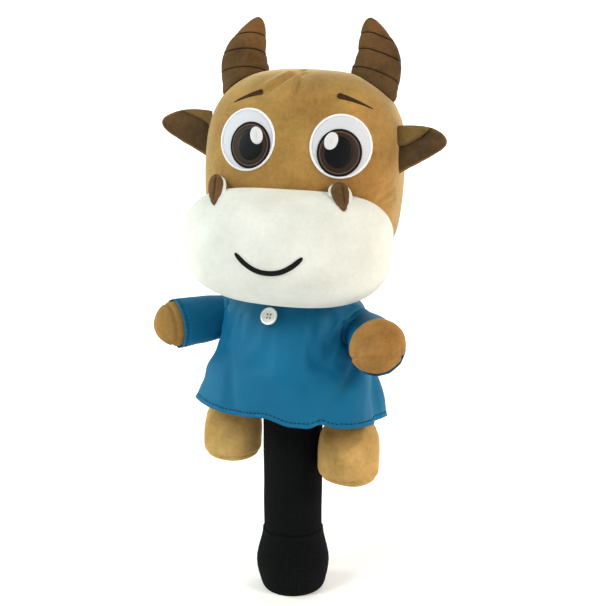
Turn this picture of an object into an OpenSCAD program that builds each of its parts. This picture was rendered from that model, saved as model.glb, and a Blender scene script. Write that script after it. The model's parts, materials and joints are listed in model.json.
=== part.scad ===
// Driver head cover: a plush bull in a shirt, sewn round a club pocket on a knitted sock.
// The toy faces -Y. Left and right are the toy's own, so left is +X.
// The origin is the centre of the sock's mouth, and +Z runs up the club's shaft.

/* [Sock] */
// Inner radius of the knitted neck that slides over the shaft
sock_bore_r = 20; // [18:0.5:23]
// Thickness of the doubled rib knit
sock_wall = 2.6; // [1.6:0.2:3.2]
// Height at which the straight neck starts, above the folded cuff
cuff_h = 44; // [36:1:56]
// How far the cuff bulges out past the neck
cuff_bulge = 6.5; // [3:0.5:10]
// Thickness of one layer of knit in the cuff
knit_layer = 1.5; // [1:0.1:2]
// Length of sock that is sewn up inside the body
sock_tuck = 12; // [8:1:20]

/* [Posture] */
// Height of the underside of the body above the sock's mouth
waist_z = 150; // [130:1:170]
// Sideways lean of the whole toy over its waist
body_lean = 3.5; // [0:0.5:6]
// Turn of the head towards the toy's left
head_turn = 13; // [0:1:20]

/* [Body] */
// Height from the underside of the body to the neck seam
body_h = 92; // [84:1:110]
// Half width of the body at the belly
belly_w = 58; // [54:1:62]
// Half depth of the body at the belly
belly_d = 44; // [40:1:48]
// Half width of the body between the arms
chest_w = 46; // [42:1:48]
// Thickness of the plush fabric
plush = 1.3; // [1:0.1:2]

/* [Head] */
// Half width of the head
head_w = 76; // [72:1:84]
// Half depth of the head
head_d = 55; // [50:1:62]
// Height of the head above its widest level
head_up = 79; // [70:1:88]
// Depth of the head below its widest level
head_down = 92; // [84:1:100]
// Share of the head's section that the neck seam takes
neck_share = 0.54; // [0.52:0.01:0.6]
// Half width of the muzzle
muzzle_w = 77.5; // [70:1:84]
// Half height of the muzzle
muzzle_h = 42.5; // [36:1:44]
// How far the muzzle's widest section stands in front of the head's middle
muzzle_y = 48; // [42:1:54]
// Bulge of the muzzle in front of that section
muzzle_front = 46; // [38:1:52]

/* [Face] */
// Distance from the middle to the centre of an eye
eye_x = 34.5; // [28:0.5:38]
// Height of the eyes above the head's widest level
eye_up = 22; // [12:1:26]
// Half width of the white of an eye
eye_w = 21; // [16:0.2:24]
// Half height of the white of an eye
eye_h = 22.8; // [18:0.2:26]
// Thickness of one layer of embroidery
thread = 0.4; // [0.3:0.1:0.8]
// Distance from the middle to a nostril
nostril_x = 44.5; // [38:0.5:50]
// Half length of the smile, across the muzzle
smile_w = 23; // [16:1:28]

/* [Horns] */
// Distance from the middle to the foot of a horn
horn_x = 48; // [42:1:54]
// Height of a horn's tip above its foot
horn_h = 53; // [44:1:62]
// Radius of a horn at its foot
horn_r = 20.5; // [16:0.5:23]

/* [Ears] */
// Length of an ear from the head to its tip
ear_len = 28; // [24:1:38]
// Half height of an ear
ear_h = 17; // [13:0.5:20]
// Thickness of an ear's outer fabric fold
ear_fold = 2.4; // [1.8:0.2:3.4]

/* [Arms and legs] */
// Radius of an arm inside its sleeve
arm_r = 16.6; // [14:0.2:17.4]
// Radius of a front hoof
hoof_r = 18.3; // [16:0.1:20]
// Angle by which the arms point forward
arm_forward = 54; // [40:1:60]
// Distance from the shoulder pivot to the middle of the hoof
arm_reach = 46; // [40:1:56]
// Distance from the middle to a leg
leg_x = 51; // [48:1:54]
// Radius of a leg
leg_r = 22.8; // [19:0.2:24]
// Length of a leg below the body
leg_len = 51; // [46:1:64]

/* [Shirt] */
// Thickness of the shirt's fabric
shirt_t = 1.1; // [0.8:0.1:1.6]
// Half width of the shirt at its hem
hem_w = 76; // [72:1:84]
// Half depth of the shirt at its hem
hem_d = 52; // [48:1:58]
// Height of the hem below the underside of the body
hem_drop = 1; // [0:1:8]
// Diameter of the button
button_d = 13; // [10:0.5:16]

/* [Pocket] */
// Half width of the pocket for the club's head
pocket_w = 60; // [56:1:64]
// Half depth of the pocket
pocket_d = 39; // [36:1:42]
// Thickness of the fleece lining
lining = 1.4; // [1:0.1:2]

/* [Hidden] */
// Gap between pieces that are sewn or lie together
seam = 0.3;
// Running gap at a moving limb, and the gap at the lap round the sock
run = 0.35;
lap = 0.8;

// How square the head is in plan, in its upper half and in its lower half
HEAD_E = 2.6;
UP_E = 3;
DOWN_E = 2.4;
neck_z = waist_z + body_h;
head_z = neck_z + head_down * pow(1 - pow(neck_share, DOWN_E), 1 / DOWN_E);
sock_r = sock_bore_r + sock_wall;
passage_r = sock_r + lap;
pivot_z = waist_z + sock_tuck / 2;

// ---- shaping functions -------------------------------------------------------------

function bent(v, e) = sign(v) * pow(abs(v), 2 / e);
function mix(a, b, t) = a + (b - a) * t;
function clamp(v) = max(0, min(1, v));
function ease(v) = let (t = clamp(v)) t * t * (3 - 2 * t);
function middle(r) = [for (k = [0:2]) sum([for (p = r) p[k]]) / len(r)];
function sum(v, i = 0) = i < len(v) ? v[i] + sum(v, i + 1) : 0;
function unit(v) = v / max(norm(v), 1e-9);

// A ring round centre c with half axes u and v; e above 2 squares it off
function ring(c, u, v, n, e = 2) = [
    for (i = [0:n - 1]) c + u * bent(cos(360 * i / n), e) + v * bent(sin(360 * i / n), e)
];
function flat_ring(z, w, d, y, n, e = 2) = ring([0, y, z], [w, 0, 0], [0, d, 0], n, e);

// A value read from a list of [place, value] pairs with smooth steps between them
function along(list, s, i = 0) =
    s <= list[0][0] ? list[0][1] :
    i > len(list) - 2 ? list[len(list) - 1][1] :
    s <= list[i + 1][0]
        ? mix(list[i][1], list[i + 1][1], (s - list[i][0]) / (list[i + 1][0] - list[i][0]))
        : along(list, s, i + 1);

// The outward direction at each point of a grid whose columns run right and rows run up
function grid_normal(g, j, i, closed) =
    let (n = len(g[0]), m = len(g) - 1,
         a = closed ? g[j][(i + 1) % n] : g[j][min(i + 1, n - 1)],
         b = closed ? g[j][(i + n - 1) % n] : g[j][max(i - 1, 0)],
         c = g[min(j + 1, m)][i], d = g[max(j - 1, 0)][i])
    unit(cross(a - b, c - d));
function thicker(g, t, closed = false) = [
    for (j = [0:len(g) - 1]) [
        for (i = [0:len(g[0]) - 1]) g[j][i] + t * grid_normal(g, j, i, closed)
    ]
];

// Faces between rows of points that start at index s
function wall(s, m, n, closed, out) = [
    for (j = [0:m - 2], i = [0:closed ? n - 1 : n - 2])
        let (a = s + j * n + i, b = s + j * n + (i + 1) % n, c = b + n, d = a + n)
        each out ? [[a, d, c], [a, c, b]] : [[a, b, c], [a, c, d]]
];
// Faces across the edge between row j of the outer and of the inner grid
function rim(o, q, n, closed, top) = [
    for (i = [0:closed ? n - 1 : n - 2])
        let (a = o + i, b = o + (i + 1) % n, c = q + (i + 1) % n, d = q + i)
        each top ? [[a, d, c], [a, c, b]] : [[a, b, c], [a, c, d]]
];
function fan(s, n, tip, top) = [
    for (i = [0:n - 1]) top ? [tip, s + (i + 1) % n, s + i] : [tip, s + i, s + (i + 1) % n]
];

// A closed body through rings stacked along their own axis
module loft(rings) {
    n = len(rings[0]);
    m = len(rings);
    polyhedron(
        concat([for (r = rings) each r], [middle(rings[0]), middle(rings[m - 1])]),
        concat(wall(0, m, n, true, true), fan(0, n, m * n, false),
               fan((m - 1) * n, n, m * n + 1, true)),
        convexity = 6);
}

// A shell with one mouth, at the first rings; both walls close at their last rings
module bottle(outer, inner) {
    n = len(outer[0]);
    m = len(outer);
    k = len(inner);
    polyhedron(
        concat([for (r = outer) each r], [for (r = inner) each r],
               [middle(outer[m - 1]), middle(inner[k - 1])]),
        concat(wall(0, m, n, true, true), wall(m * n, k, n, true, false),
               rim(0, m * n, n, true, false),
               fan((m - 1) * n, n, (m + k) * n, true),
               fan((m + k - 1) * n, n, (m + k) * n + 1, false)),
        convexity = 6);
}

// A shell that is open at both ends
module tube(outer, inner) {
    n = len(outer[0]);
    m = len(outer);
    k = len(inner);
    polyhedron(
        concat([for (r = outer) each r], [for (r = inner) each r]),
        concat(wall(0, m, n, true, true), wall(m * n, k, n, true, false),
               rim(0, m * n, n, true, false),
               rim((m - 1) * n, (m + k - 1) * n, n, true, true)),
        convexity = 6);
}

// A sheet between two open grids: columns run right and rows run up, seen from outside
module panel(outer, inner) {
    n = len(outer[0]);
    m = len(outer);
    q = m * n;
    polyhedron(
        concat([for (r = outer) each r], [for (r = inner) each r]),
        concat(wall(0, m, n, false, true), wall(q, m, n, false, false),
               rim(0, q, n, false, false), rim(q - n, 2 * q - n, n, false, true),
               [for (j = [0:m - 2]) each [
                   [j * n, q + j * n, q + j * n + n], [j * n, q + j * n + n, j * n + n]]],
               [for (j = [0:m - 2]) let (a = j * n + n - 1) each [
                   [a + n, q + a + n, q + a], [a + n, q + a, a]]]),
        convexity = 6);
}

// A pad between two round grids: row 0 is the middle, and columns turn anticlockwise
module pad(front, back) {
    n = len(front[0]);
    m = len(front) - 1;
    k = len(back) - 1;
    q = m * n;
    tips = (m + k) * n;
    polyhedron(
        concat([for (j = [1:m]) each front[j]], [for (j = [1:k]) each back[j]],
               [front[0][0], back[0][0]]),
        concat(wall(0, m, n, true, false), wall(q, k, n, true, true),
               rim(q - n, tips - n, n, true, false),
               fan(0, n, tips, true), fan(q, n, tips + 1, false)),
        convexity = 6);
}

// Places drawn things on the leaning body, or on the head that is turned on it
module on_body() {
    translate([0, 0, pivot_z]) rotate([0, body_lean, 0]) translate([0, 0, -pivot_z]) children();
}
module on_head() on_body() rotate([0, 0, head_turn]) children();
module on_side(side) mirror([side > 0 ? 0 : 1, 0, 0]) children();

// ---- sock --------------------------------------------------------------------------

cuff_r = sock_r + cuff_bulge;
cuff_lap = 4;
mouth_roll = 3;

// Outline of the cuff's bulge, from the mouth up to the seam with the neck
function cuff_side(inset) = [
    for (k = [0:10]) let (t = k / 10)
        [mix(mix(cuff_r - 2.5, cuff_r, ease(t * 2.5)), sock_r + knit_layer, ease(t * 1.7 - 0.7)) - inset,
         mix(mouth_roll, cuff_h + cuff_lap, t)]
];

module sock_neck() {
    color("#17171b") rotate_extrude($fn = 64) polygon([
        [sock_bore_r, cuff_h], [sock_r, cuff_h], [sock_r + 0.4, mix(cuff_h, waist_z, 0.4)],
        [sock_r, waist_z - 8], [sock_r, waist_z + sock_tuck], [sock_bore_r, waist_z + sock_tuck]
    ]);
}

// The knit is folded in at the mouth, so the cuff is two layers with a hollow between
module sock_cuff() {
    inside = sock_bore_r + knit_layer;
    color("#121216") rotate_extrude($fn = 64) polygon(concat(
        [[sock_bore_r, cuff_h], [sock_bore_r, 0], [cuff_r - 5, 0], [cuff_r - 3.2, 0.9]],
        cuff_side(0),
        [[sock_r + 0.4, cuff_h + cuff_lap], [sock_r + 0.4, cuff_h - 0.5]],
        [for (p = [9:-1:1]) cuff_side(knit_layer)[p]],
        [[cuff_r - 4.2, mouth_roll + 0.4], [cuff_r - 5.5, knit_layer],
         [inside, knit_layer], [inside, cuff_h]]
    ));
}

module cuff_elastic() {
    color("#d8d4cc") rotate_extrude($fn = 64)
        translate([sock_bore_r + knit_layer + seam, knit_layer + seam]) square([1, 9]);
}

// ---- pocket and body ---------------------------------------------------------------

// Columns round the body and head
HEAD_N = 28;

// The pocket's section at a height: a round passage that widens to take the club's head
pocket_top = head_z + head_up * 0.75;
function pocket_half(z, w) =
    let (open = ease((z - neck_z) / 40), shut = clamp((z - head_z + 4) / (pocket_top - head_z + 4)))
    mix(passage_r, w, open) * sqrt(max(0, 1 - shut * shut));
function pocket_ring(z, grow, n, turn = 0) = [
    for (p = flat_ring(z, pocket_half(z, pocket_w) + grow, pocket_half(z, pocket_d) + grow, 0, n))
        [p[0] * cos(turn) - p[1] * sin(turn), p[0] * sin(turn) + p[1] * cos(turn), z]
];
// Below the neck seam the pocket takes up the head's turn little by little
function pocket_turn(z) = head_turn * (ease((z - waist_z - 40) / (body_h - 40)) - 1);
body_levels = [for (k = [0:4]) mix(waist_z, neck_z, k / 4)];
head_levels = [for (k = [0:7]) mix(neck_z, pocket_top, sin(k * 12))];

module pocket_lining() {
    low = [for (z = body_levels) pocket_ring(z + (z == waist_z ? plush + seam : 0), lining, HEAD_N, pocket_turn(z))];
    high = [for (k = [1:7]) pocket_ring(head_levels[k], lining, HEAD_N)];
    low_in = [for (z = body_levels) pocket_ring(z + (z == waist_z ? plush + seam : 0), 0, HEAD_N, pocket_turn(z))];
    high_in = [for (k = [1:7]) pocket_ring(head_levels[k] - lining * k / 7, 0, HEAD_N)];
    color("#8d8a86") on_head() bottle(concat(low, high), concat(low_in, high_in));
}

// Half width, half depth and forward offset of the body against its height
body_section = [
    [0, [belly_w - 5, belly_d - 5, -2]], [6, [belly_w, belly_d - 1, -3]],
    [20, [belly_w, belly_d, -3]], [34, [belly_w - 3, belly_d, -3]],
    [45, [chest_w + 1, belly_d - 1, -3]], [68, [chest_w, belly_d - 3, -3]],
    [76, [chest_w - 2, belly_d - 6, -2]],
    [82, [head_w * neck_share + 2.5, head_d * neck_share + 4.5, -1]],
    [body_h, [head_w * neck_share, head_d * neck_share, 0]]
];
body_rows = [0, 6, 20, 34, 45, 68, 76, 82, body_h];
// The neck seam is turned with the head, so the body's top rings are turned too
function body_ring(h, inset) =
    let (s = along(body_section, h), t = head_turn * ease((h - 68) / (body_h - 68)),
         e = mix(2.2, 2.6, ease((h - 60) / 30)))
    [for (p = flat_ring(waist_z + h, s[0] - inset, s[1] - inset, 0, HEAD_N, e))
        [p[0] * cos(t) - p[1] * sin(t), p[0] * sin(t) + p[1] * cos(t) + s[2], p[2]]];

module torso_panel(first, last) {
    color("#a97646") on_body() panel(
        [for (h = body_rows) [for (i = [first:last]) body_ring(h, 0)[i % HEAD_N]]],
        [for (h = body_rows) [for (i = [first:last]) body_ring(h, plush)[i % HEAD_N]]]);
}
module torso_front() { torso_panel(HEAD_N / 2, HEAD_N); }
module torso_back() { torso_panel(0, HEAD_N / 2); }

module torso_base() {
    color("#a97646") on_body() tube(
        [for (h = [0, plush]) [for (p = body_ring(0, plush + 0.1)) [p[0], p[1], waist_z + h]]],
        [for (h = [0, plush]) pocket_ring(waist_z + h, 0, HEAD_N)]);
}

module torso_stuffing() {
    rows = [for (h = body_rows) h == 0 ? plush + 0.1 : h];
    color("#f4f1ea") on_body() tube(
        [for (k = [0:len(rows) - 1])
            [for (p = body_ring(body_rows[k], plush + 0.1)) [p[0], p[1], waist_z + rows[k]]]],
        [for (z = body_levels)
            pocket_ring(z + (z == waist_z ? plush + seam : 0), lining + 0.1, HEAD_N,
                        pocket_turn(z) + head_turn)]);
}

// ---- head --------------------------------------------------------------------------

// Size of the head's surface through a point: 1 on the surface, less inside it
function head_share(p) =
    let (dz = p[2] - head_z, e = dz > 0 ? UP_E : DOWN_E, c = dz > 0 ? head_up : head_down,
         flat = pow(abs(p[0] / head_w), HEAD_E) + pow(abs(p[1] / head_d), HEAD_E))
    pow(pow(flat, e / HEAD_E) + pow(abs(dz / c), e), 1 / e);
function to_head(p, off) =
    let (q = p - [0, 0, head_z], k = (1 + off / norm(q)) / head_share(p))
    [0, 0, head_z] + q * k;
// The face's surface in front of a place, moved out by off
function face_y(x, z, off) =
    let (dz = z - head_z, e = dz > 0 ? UP_E : DOWN_E, c = dz > 0 ? head_up : head_down,
         left = pow(max(0, 1 - pow(abs(dz / c), e)), HEAD_E / e) - pow(abs(x / head_w), HEAD_E))
    -head_d * pow(max(0, left), 1 / HEAD_E) - off;

function head_ring(tilt, share) =
    let (e = tilt > 0 ? UP_E : DOWN_E, c = tilt > 0 ? head_up : head_down,
         s = pow(cos(tilt), 2 / e), z = head_z + c * bent(sin(tilt), e) * share)
    flat_ring(z, head_w * s * share, head_d * s * share, 0, HEAD_N, HEAD_E);
neck_tilt = -acos(pow(neck_share, DOWN_E / 2));
head_tilts = [for (k = [0:10]) mix(neck_tilt, 84, k / 10)];
// The skin is a share thinner than the head, so both walls follow the same form
skin_share = 1 - plush / head_d;
function head_skin(share) = [for (t = head_tilts) t == neck_tilt
    ? [for (p = head_ring(t, share)) [p[0], p[1], neck_z]] : head_ring(t, share)];

module head_panel(first, last) {
    outer = head_skin(1);
    inner = head_skin(skin_share);
    crown = [0, 0, head_z + head_up];
    crown_in = [0, 0, head_z + head_up * skin_share];
    on_head() panel(
        concat([for (r = outer) [for (i = [first:last]) r[i % HEAD_N]]],
               [[for (i = [first:last]) crown]]),
        concat([for (r = inner) [for (i = [first:last]) r[i % HEAD_N]]],
               [[for (i = [first:last]) crown_in]]));
}
module face_panel() { color("#a97646") head_panel(HEAD_N / 2, HEAD_N); }
module head_back_left() { color("#a37142") head_panel(0, HEAD_N / 4); }
module head_back_right() { color("#a37142") head_panel(HEAD_N / 4, HEAD_N / 2); }

module head_stuffing() {
    color("#f4f1ea") on_head() bottle(
        head_skin(skin_share - 0.002),
        [for (k = [0:7]) pocket_ring(head_levels[k], lining + 0.1, HEAD_N)]);
}

// ---- muzzle ------------------------------------------------------------------------

MUZZLE_N = 32;
// Flat along the top seam, rounder below
function muzzle_e(up) = up > 0 ? 3.4 : 2.5;
DEPTH_E = 2.3;
muzzle_back = 22;
muzzle_z = neck_z + 31;

// A point of the muzzle: a turns round it, v runs from its nose to its back
function muzzle_point(a, v, k) =
    let (s = pow(sin(v), 2 / DEPTH_E), d = bent(cos(v), DEPTH_E))
    [muzzle_w * bent(cos(a), muzzle_e(sin(a))) * s * k,
     -muzzle_y - (d > 0 ? muzzle_front : muzzle_back) * d * k,
     muzzle_z + muzzle_h * bent(sin(a), muzzle_e(sin(a))) * s * k];
// The muzzle's surface in front of a place, moved out by off
function muzzle_face_y(x, z, off) =
    let (e = muzzle_e(z - muzzle_z),
         r = pow(pow(abs(x / muzzle_w), e) + pow(abs((z - muzzle_z) / muzzle_h), e), 1 / e))
    -muzzle_y - muzzle_front * pow(max(0, 1 - pow(r, DEPTH_E)), 1 / DEPTH_E) - off;
// Where the muzzle meets the head, found by halving the span
function muzzle_edge(a, k, low = 40, high = 175, n = 14) =
    let (v = (low + high) / 2)
    n == 0 ? v :
    head_share(muzzle_point(a, v, k)) > 1 + 2 * seam / head_d
        ? muzzle_edge(a, k, v, high, n - 1) : muzzle_edge(a, k, low, v, n - 1);
muzzle_in = 1 - plush / muzzle_front;
function muzzle_grid(k) =
    let (edge = [for (i = [0:MUZZLE_N - 1]) muzzle_edge(360 * i / MUZZLE_N, k)])
    [for (f = [0, 0.18, 0.38, 0.58, 0.76, 0.9, 1])
        [for (i = [0:MUZZLE_N - 1]) muzzle_point(360 * i / MUZZLE_N, edge[i] * f, k)]];

module muzzle_skin() {
    color("#f3ead9") on_head() pad(muzzle_grid(1), muzzle_grid(muzzle_in));
}
module muzzle_stuffing() {
    front = muzzle_grid(muzzle_in - 0.002);
    edge = front[len(front) - 1];
    heart = [0, -head_d, muzzle_z];
    color("#f4f1ea") on_head() pad(front, [
        for (f = [0, 0.25, 0.5, 0.75, 0.9, 1]) [for (p = edge) to_head(mix(heart, p, f), seam * 2)]]);
}

// ---- embroidery --------------------------------------------------------------------

eye_z = head_z + eye_up;
layer = thread + 0.2;

// An oval patch on the face, low above the plush
module face_oval(x, z, w, h, low, n) {
    shares = n > 14 ? [0, 0.45, 0.78, 1] : [0, 0.6, 1];
    spots = [for (f = shares) [for (i = [0:n - 1])
        [x + w * f * cos(360 * i / n), z + h * f * sin(360 * i / n)]]];
    on_head() pad(
        [for (r = spots) [for (p = r) [p[0], face_y(p[0], p[1], low + thread), p[1]]]],
        [for (r = spots) [for (p = r) [p[0], face_y(p[0], p[1], low), p[1]]]]);
}
module eye_white(side) {
    color("#f6f4fb") face_oval(side * eye_x, eye_z, eye_w, eye_h, seam, 18);
}
// The iris, pupil and highlight look in towards the nose
iris_w = eye_w * 0.72;
iris_in = 2.2;
iris_drop = 3.2;
module iris(side) {
    color("#3a2016") face_oval(side * (eye_x - iris_in), eye_z - iris_drop,
                               iris_w, iris_w * 1.07, seam + layer, 16);
}
module pupil(side) {
    color("#10111f") face_oval(side * (eye_x - iris_in), eye_z - iris_drop,
                               iris_w * 0.61, iris_w * 0.68, seam + 2 * layer, 14);
}
module highlight(side) {
    color("white") face_oval(side * (eye_x - iris_in - 4.6), eye_z - iris_drop + 5.8,
                             5.5, 6, seam + 3 * layer, 10);
}

// A stitched band from row to row, on the surface that at() gives
module brow(side) {
    steps = [for (k = [0:8]) k / 8];
    function edge(up, off) = [for (t = steps)
        let (x = mix(eye_x - 6.5, eye_x + 17.5, t),
             z = eye_z + mix(36, 27.5, t) + 1.6 * sin(180 * t) + up * mix(2.3, 0.5, t) * min(1, 0.45 + 6 * t))
        [x, face_y(x, z, off), z]];
    color("#4a2a18") on_head() on_side(side)
        panel([edge(-1, seam + thread), edge(1, seam + thread)], [edge(-1, seam), edge(1, seam)]);
}

smile_z = neck_z + 16.5;
smile_rise = 12;
module smile_stitch() {
    steps = [for (k = [-9:9]) k / 9];
    function edge(up, off) = [for (t = steps)
        let (slope = atan(2 * smile_rise * t / smile_w), half = 1.5 * sqrt(max(0.05, 1 - pow(abs(t), 9))),
             x = smile_w * t - up * half * sin(slope), z = smile_z + smile_rise * t * t + up * half * cos(slope))
        [x, muzzle_face_y(x, z, off), z]];
    color("#111111") on_head()
        panel([edge(-1, seam + 2 * thread), edge(1, seam + 2 * thread)], [edge(-1, seam), edge(1, seam)]);
}

// A folded petal sewn to the muzzle by its point, standing up from there
nostril_tip = muzzle_z + muzzle_h * 0.7;
nostril_h = 19.5;
nostril_half = 6.9;
nostril_in = 3;
module nostril(side) {
    steps = [0, 0.1, 0.25, 0.42, 0.6, 0.78, 0.92, 1];
    across = [-1, -0.6, 0, 0.6, 1];
    tip_y = muzzle_face_y(nostril_x, nostril_tip, 2 * seam);
    function sheet(thick) = [for (t = steps)
        let (w = nostril_half * pow(sin(mix(4, 160, t)), 0.75), y = tip_y + 1.5 * t - 2 * sin(180 * t))
        [for (q = across) [nostril_x - nostril_in * t + w * q, y - thick * (1.3 - q * q) - 1.2 * (1 - q * q),
                           nostril_tip + nostril_h * t]]];
    color("#7b4a28") on_head() on_side(side) panel(sheet(2), sheet(0));
}

// ---- horns -------------------------------------------------------------------------

HORN_N = 14;
horn_z = head_z + head_up * 0.835;
horn_turns = [[0, 0], [0.28, 1.8], [0.51, 1.2], [0.75, -2], [0.92, -4.6], [1, -5.7]];
horn_girth = [[0, 1], [0.13, 0.96], [0.28, 0.86], [0.51, 0.68], [0.75, 0.45], [0.9, 0.27],
              [0.97, 0.14], [1, 0.01]];
stitch_rings = [0.28, 0.51, 0.75];
// A horn's section at a share of its height; the foot is tilted to lie on the head
function horn_ring(h, inset) =
    let (tilt = 31 * (1 - ease(h * 2.2)), r = max(0.1, horn_r * along(horn_girth, h) - inset),
         top = horn_h - inset)
    ring([horn_x + along(horn_turns, h), -4 * (1 - h), horn_z + top * h],
         [r * cos(tilt), 0, -r * sin(tilt)], [0, r * 0.9, 0], HORN_N);
function horn_foot(share, inset) = [
    for (p = horn_ring(0, inset)) to_head(mix([horn_x, -4, horn_z], p, share), 2 * seam)];
pinch = 0.7;
horn_rows = [0.13, 0.24, 0.28, 0.32, 0.47, 0.51, 0.55, 0.71, 0.75, 0.79, 0.9, 0.97, 1];
horn_rows_in = [0.13, 0.28, 0.51, 0.75, 0.9, 0.97];

module horn_skin(side) {
    color("#5f3a22") on_head() on_side(side) bottle(
        concat([horn_foot(1, 0)], [for (h = horn_rows)
            horn_ring(h, len(search(h, stitch_rings)) > 0 ? pinch : 0)]),
        concat([horn_foot(1, plush + pinch)], [for (h = horn_rows_in) horn_ring(h, plush + pinch)]));
}
module horn_stuffing(side) {
    fill = plush + pinch + 0.05;
    color("#f4f1ea") on_head() on_side(side) loft(concat(
        [for (f = [0.1, 0.5, 1]) horn_foot(f, fill)], [for (h = horn_rows_in) horn_ring(h, fill)]));
}

// ---- ears --------------------------------------------------------------------------

ear_root = 3;
ear_z = head_z + 27;
ear_y = -18;
// The pivot stands off the side of the head by the root's radius and a running gap
ear_pivot = [for (p = [to_head([head_w, ear_y, ear_z], ear_root + 2 * run)]) [p[0], ear_y, ear_z]][0];
ear_outline = [[-0.1, 0.66], [0, 0.76], [0.2, 0.92], [0.4, 0.87], [0.65, 0.64], [0.84, 0.4], [0.96, 0.24], [1, 0.15]];
// Places across the ear, from its lower edge round the back to its upper edge, as shares of
// its half height and as distances back; the last three are the flap, open and folded
ear_across = [[-1, -3.5], [-0.6, -0.5], [0, 1.2], [0.5, 0.4], [0.84, -1.6]];
flap_open = [[0.92, -2.2], [0.97, -2.7], [1.02, -3.2]];
flap_shut = [[0.95, -5.2], [0.74, -7.4], [0.4, -7.8]];
function ear_spot(q, s) = q < 5 ? ear_across[q]
    : mix(flap_open[q - 5], flap_shut[q - 5], ease((s - 0.02) / 0.25) * (1 - ease((s - 0.7) / 0.26)));
function ear_grid(first, last, shares, off) = [
    for (q = [first:last]) [
        for (s = shares)
            let (half = ear_h * along(ear_outline, s), cup = ease(s * 2.5 + 0.3) * min(1, half / ear_h + 0.25),
                 spot = ear_spot(q, s))
            [ear_len * s, spot[1] * cup + off, 9 * s * s + half * spot[0]]]];

module on_ear(side) {
    on_head() on_side(side) translate(ear_pivot) rotate([0, 0, -18]) children();
}
module ear_outer(side) {
    face = ear_grid(0, 7, [-0.09, 0, 0.2, 0.4, 0.65, 0.84, 0.96, 1], 0);
    color("#a97646") on_ear(side) panel(face, thicker(face, -ear_fold));
}
module ear_inner(side) {
    bed = thicker(ear_grid(0, 3, [0.04, 0.2, 0.4, 0.65, 0.84, 0.93], 0), seam);
    color("#3b2115") on_ear(side) panel(thicker(bed, plush), bed);
}

// ---- arms --------------------------------------------------------------------------

ARM_N = 12;
arm_root = 9.6;
arm_z = waist_z + 64;
arm_y = -4;
arm_drop = 8;
arm_pivot = [chest_w + arm_root + run, arm_y, arm_z];
arm_way = [cos(arm_forward) * cos(arm_drop), -sin(arm_forward) * cos(arm_drop), -sin(arm_drop)];
arm_nodes = [arm_pivot - [arm_root, 0, 0], arm_pivot + [arm_root, 0, 0],
             arm_pivot + arm_way * (arm_reach - 20), arm_pivot + arm_way * arm_reach];
function curve(t) = let (p = arm_nodes, q = 1 - t)
    q * q * q * p[0] + 3 * q * q * t * p[1] + 3 * q * t * t * p[2] + t * t * t * p[3];
function heading(t) = unit(curve(min(1, t + 0.01)) - curve(max(0, t - 0.01)));
// The ridge at the root is round about the pivot, so it turns in place beside the body
root_reach = 3 * 2 * arm_root;
function root_half(t, inset) =
    let (s = root_reach * t) sqrt(max(0.2, pow(arm_root - inset, 2) - pow(arm_root - max(s, inset), 2)));
function arm_ring(t, w, h) =
    let (x = heading(t), z = unit([0, 0, 1] - x * x[2])) ring(curve(t), cross(z, x) * w, z * h, ARM_N);
arm_girth = [[0.2, 0.88], [0.35, 0.95], [0.7, 1], [1, 1.1]];
function arm_rings(inset) = concat(
    [for (t = [0.005, 0.02, 0.05, 0.1])
        arm_ring(max(t, inset / root_reach), mix(9, 13, t * 10) - inset, root_half(t, inset))],
    [for (t = [0.22, 0.4, 0.6, 0.8, 1])
        let (r = mix(arm_r * along(arm_girth, t), hoof_r, ease((t - 0.7) / 0.3)) - inset) arm_ring(t, r, r)]);
function hoof_ring(d, inset) =
    let (r = hoof_r - inset, z = unit([0, 0, 1] - arm_way * arm_way[2]), s = max(0.1, r * cos(d)))
    ring(arm_nodes[3] + arm_way * r * sin(d), cross(z, arm_way) * s, z * s, ARM_N);
hoof_seam = 16;
module on_arm(side) on_body() on_side(side) children();

module arm_skin(side) {
    outer = concat(arm_rings(0), [hoof_ring(hoof_seam, 0)]);
    inner = concat(arm_rings(plush), [hoof_ring(hoof_seam, plush)]);
    color("#b98450") on_arm(side) bottle_up(outer, inner);
}
// The same shell as a bottle, with its mouth at the last rings
module bottle_up(outer, inner) {
    function flip(g) = [for (j = [len(g) - 1:-1:0]) [for (i = [len(g[0]) - 1:-1:0]) g[j][i]]];
    bottle(flip(outer), flip(inner));
}
module arm_hoof(side) {
    turns = [hoof_seam, 32, 50, 68, 82];
    color("#c08a52") on_arm(side) bottle(
        [for (d = turns) hoof_ring(d, 0)], [for (d = turns) hoof_ring(d, plush)]);
}
module arm_stuffing(side) {
    fill = plush + 0.1;
    color("#f4f1ea") on_arm(side) loft(concat(
        arm_rings(fill), [for (d = [hoof_seam, 32, 50, 68, 82]) hoof_ring(d, fill)]));
}

// The sleeve rides with the arm and passes through the shirt's armhole
sleeve_ease = 0.4;
sleeve_start = 0.3;
module sleeve(side) {
    turns = [sleeve_start, 0.37, 0.48, 0.64, 0.8, 0.96];
    function sleeve_rings(off) = [for (t = turns)
        let (r = mix(arm_r * along(arm_girth, t), hoof_r, ease((t - 0.7) / 0.3)) + sleeve_ease + off
                 + 1.2 * ease(t * 3 - 1))
        arm_ring(t, r, r)];
    color("#2f7fb0") on_arm(side) tube(sleeve_rings(shirt_t), sleeve_rings(0));
}

// ---- legs --------------------------------------------------------------------------

hip_root = 4;
hip_z = waist_z - hip_root - run;
sole_h = 9;
function leg_outline(inset) = concat(
    [[0, -leg_len + inset]],
    [for (d = [8:8:80]) [(leg_r - inset) * pow(sin(d + 8), 0.8), -leg_len + inset + 15 * (1 - cos(d))]],
    [[leg_r - inset, -leg_len + 20], [leg_r - inset, -24], [leg_r - 1 - inset, -14],
     [leg_r * 0.8 - inset, -6], [leg_r * 0.6 - inset, 0], [leg_r * 0.4 - inset, hip_root - inset],
     [0, hip_root - inset]]);
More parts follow.
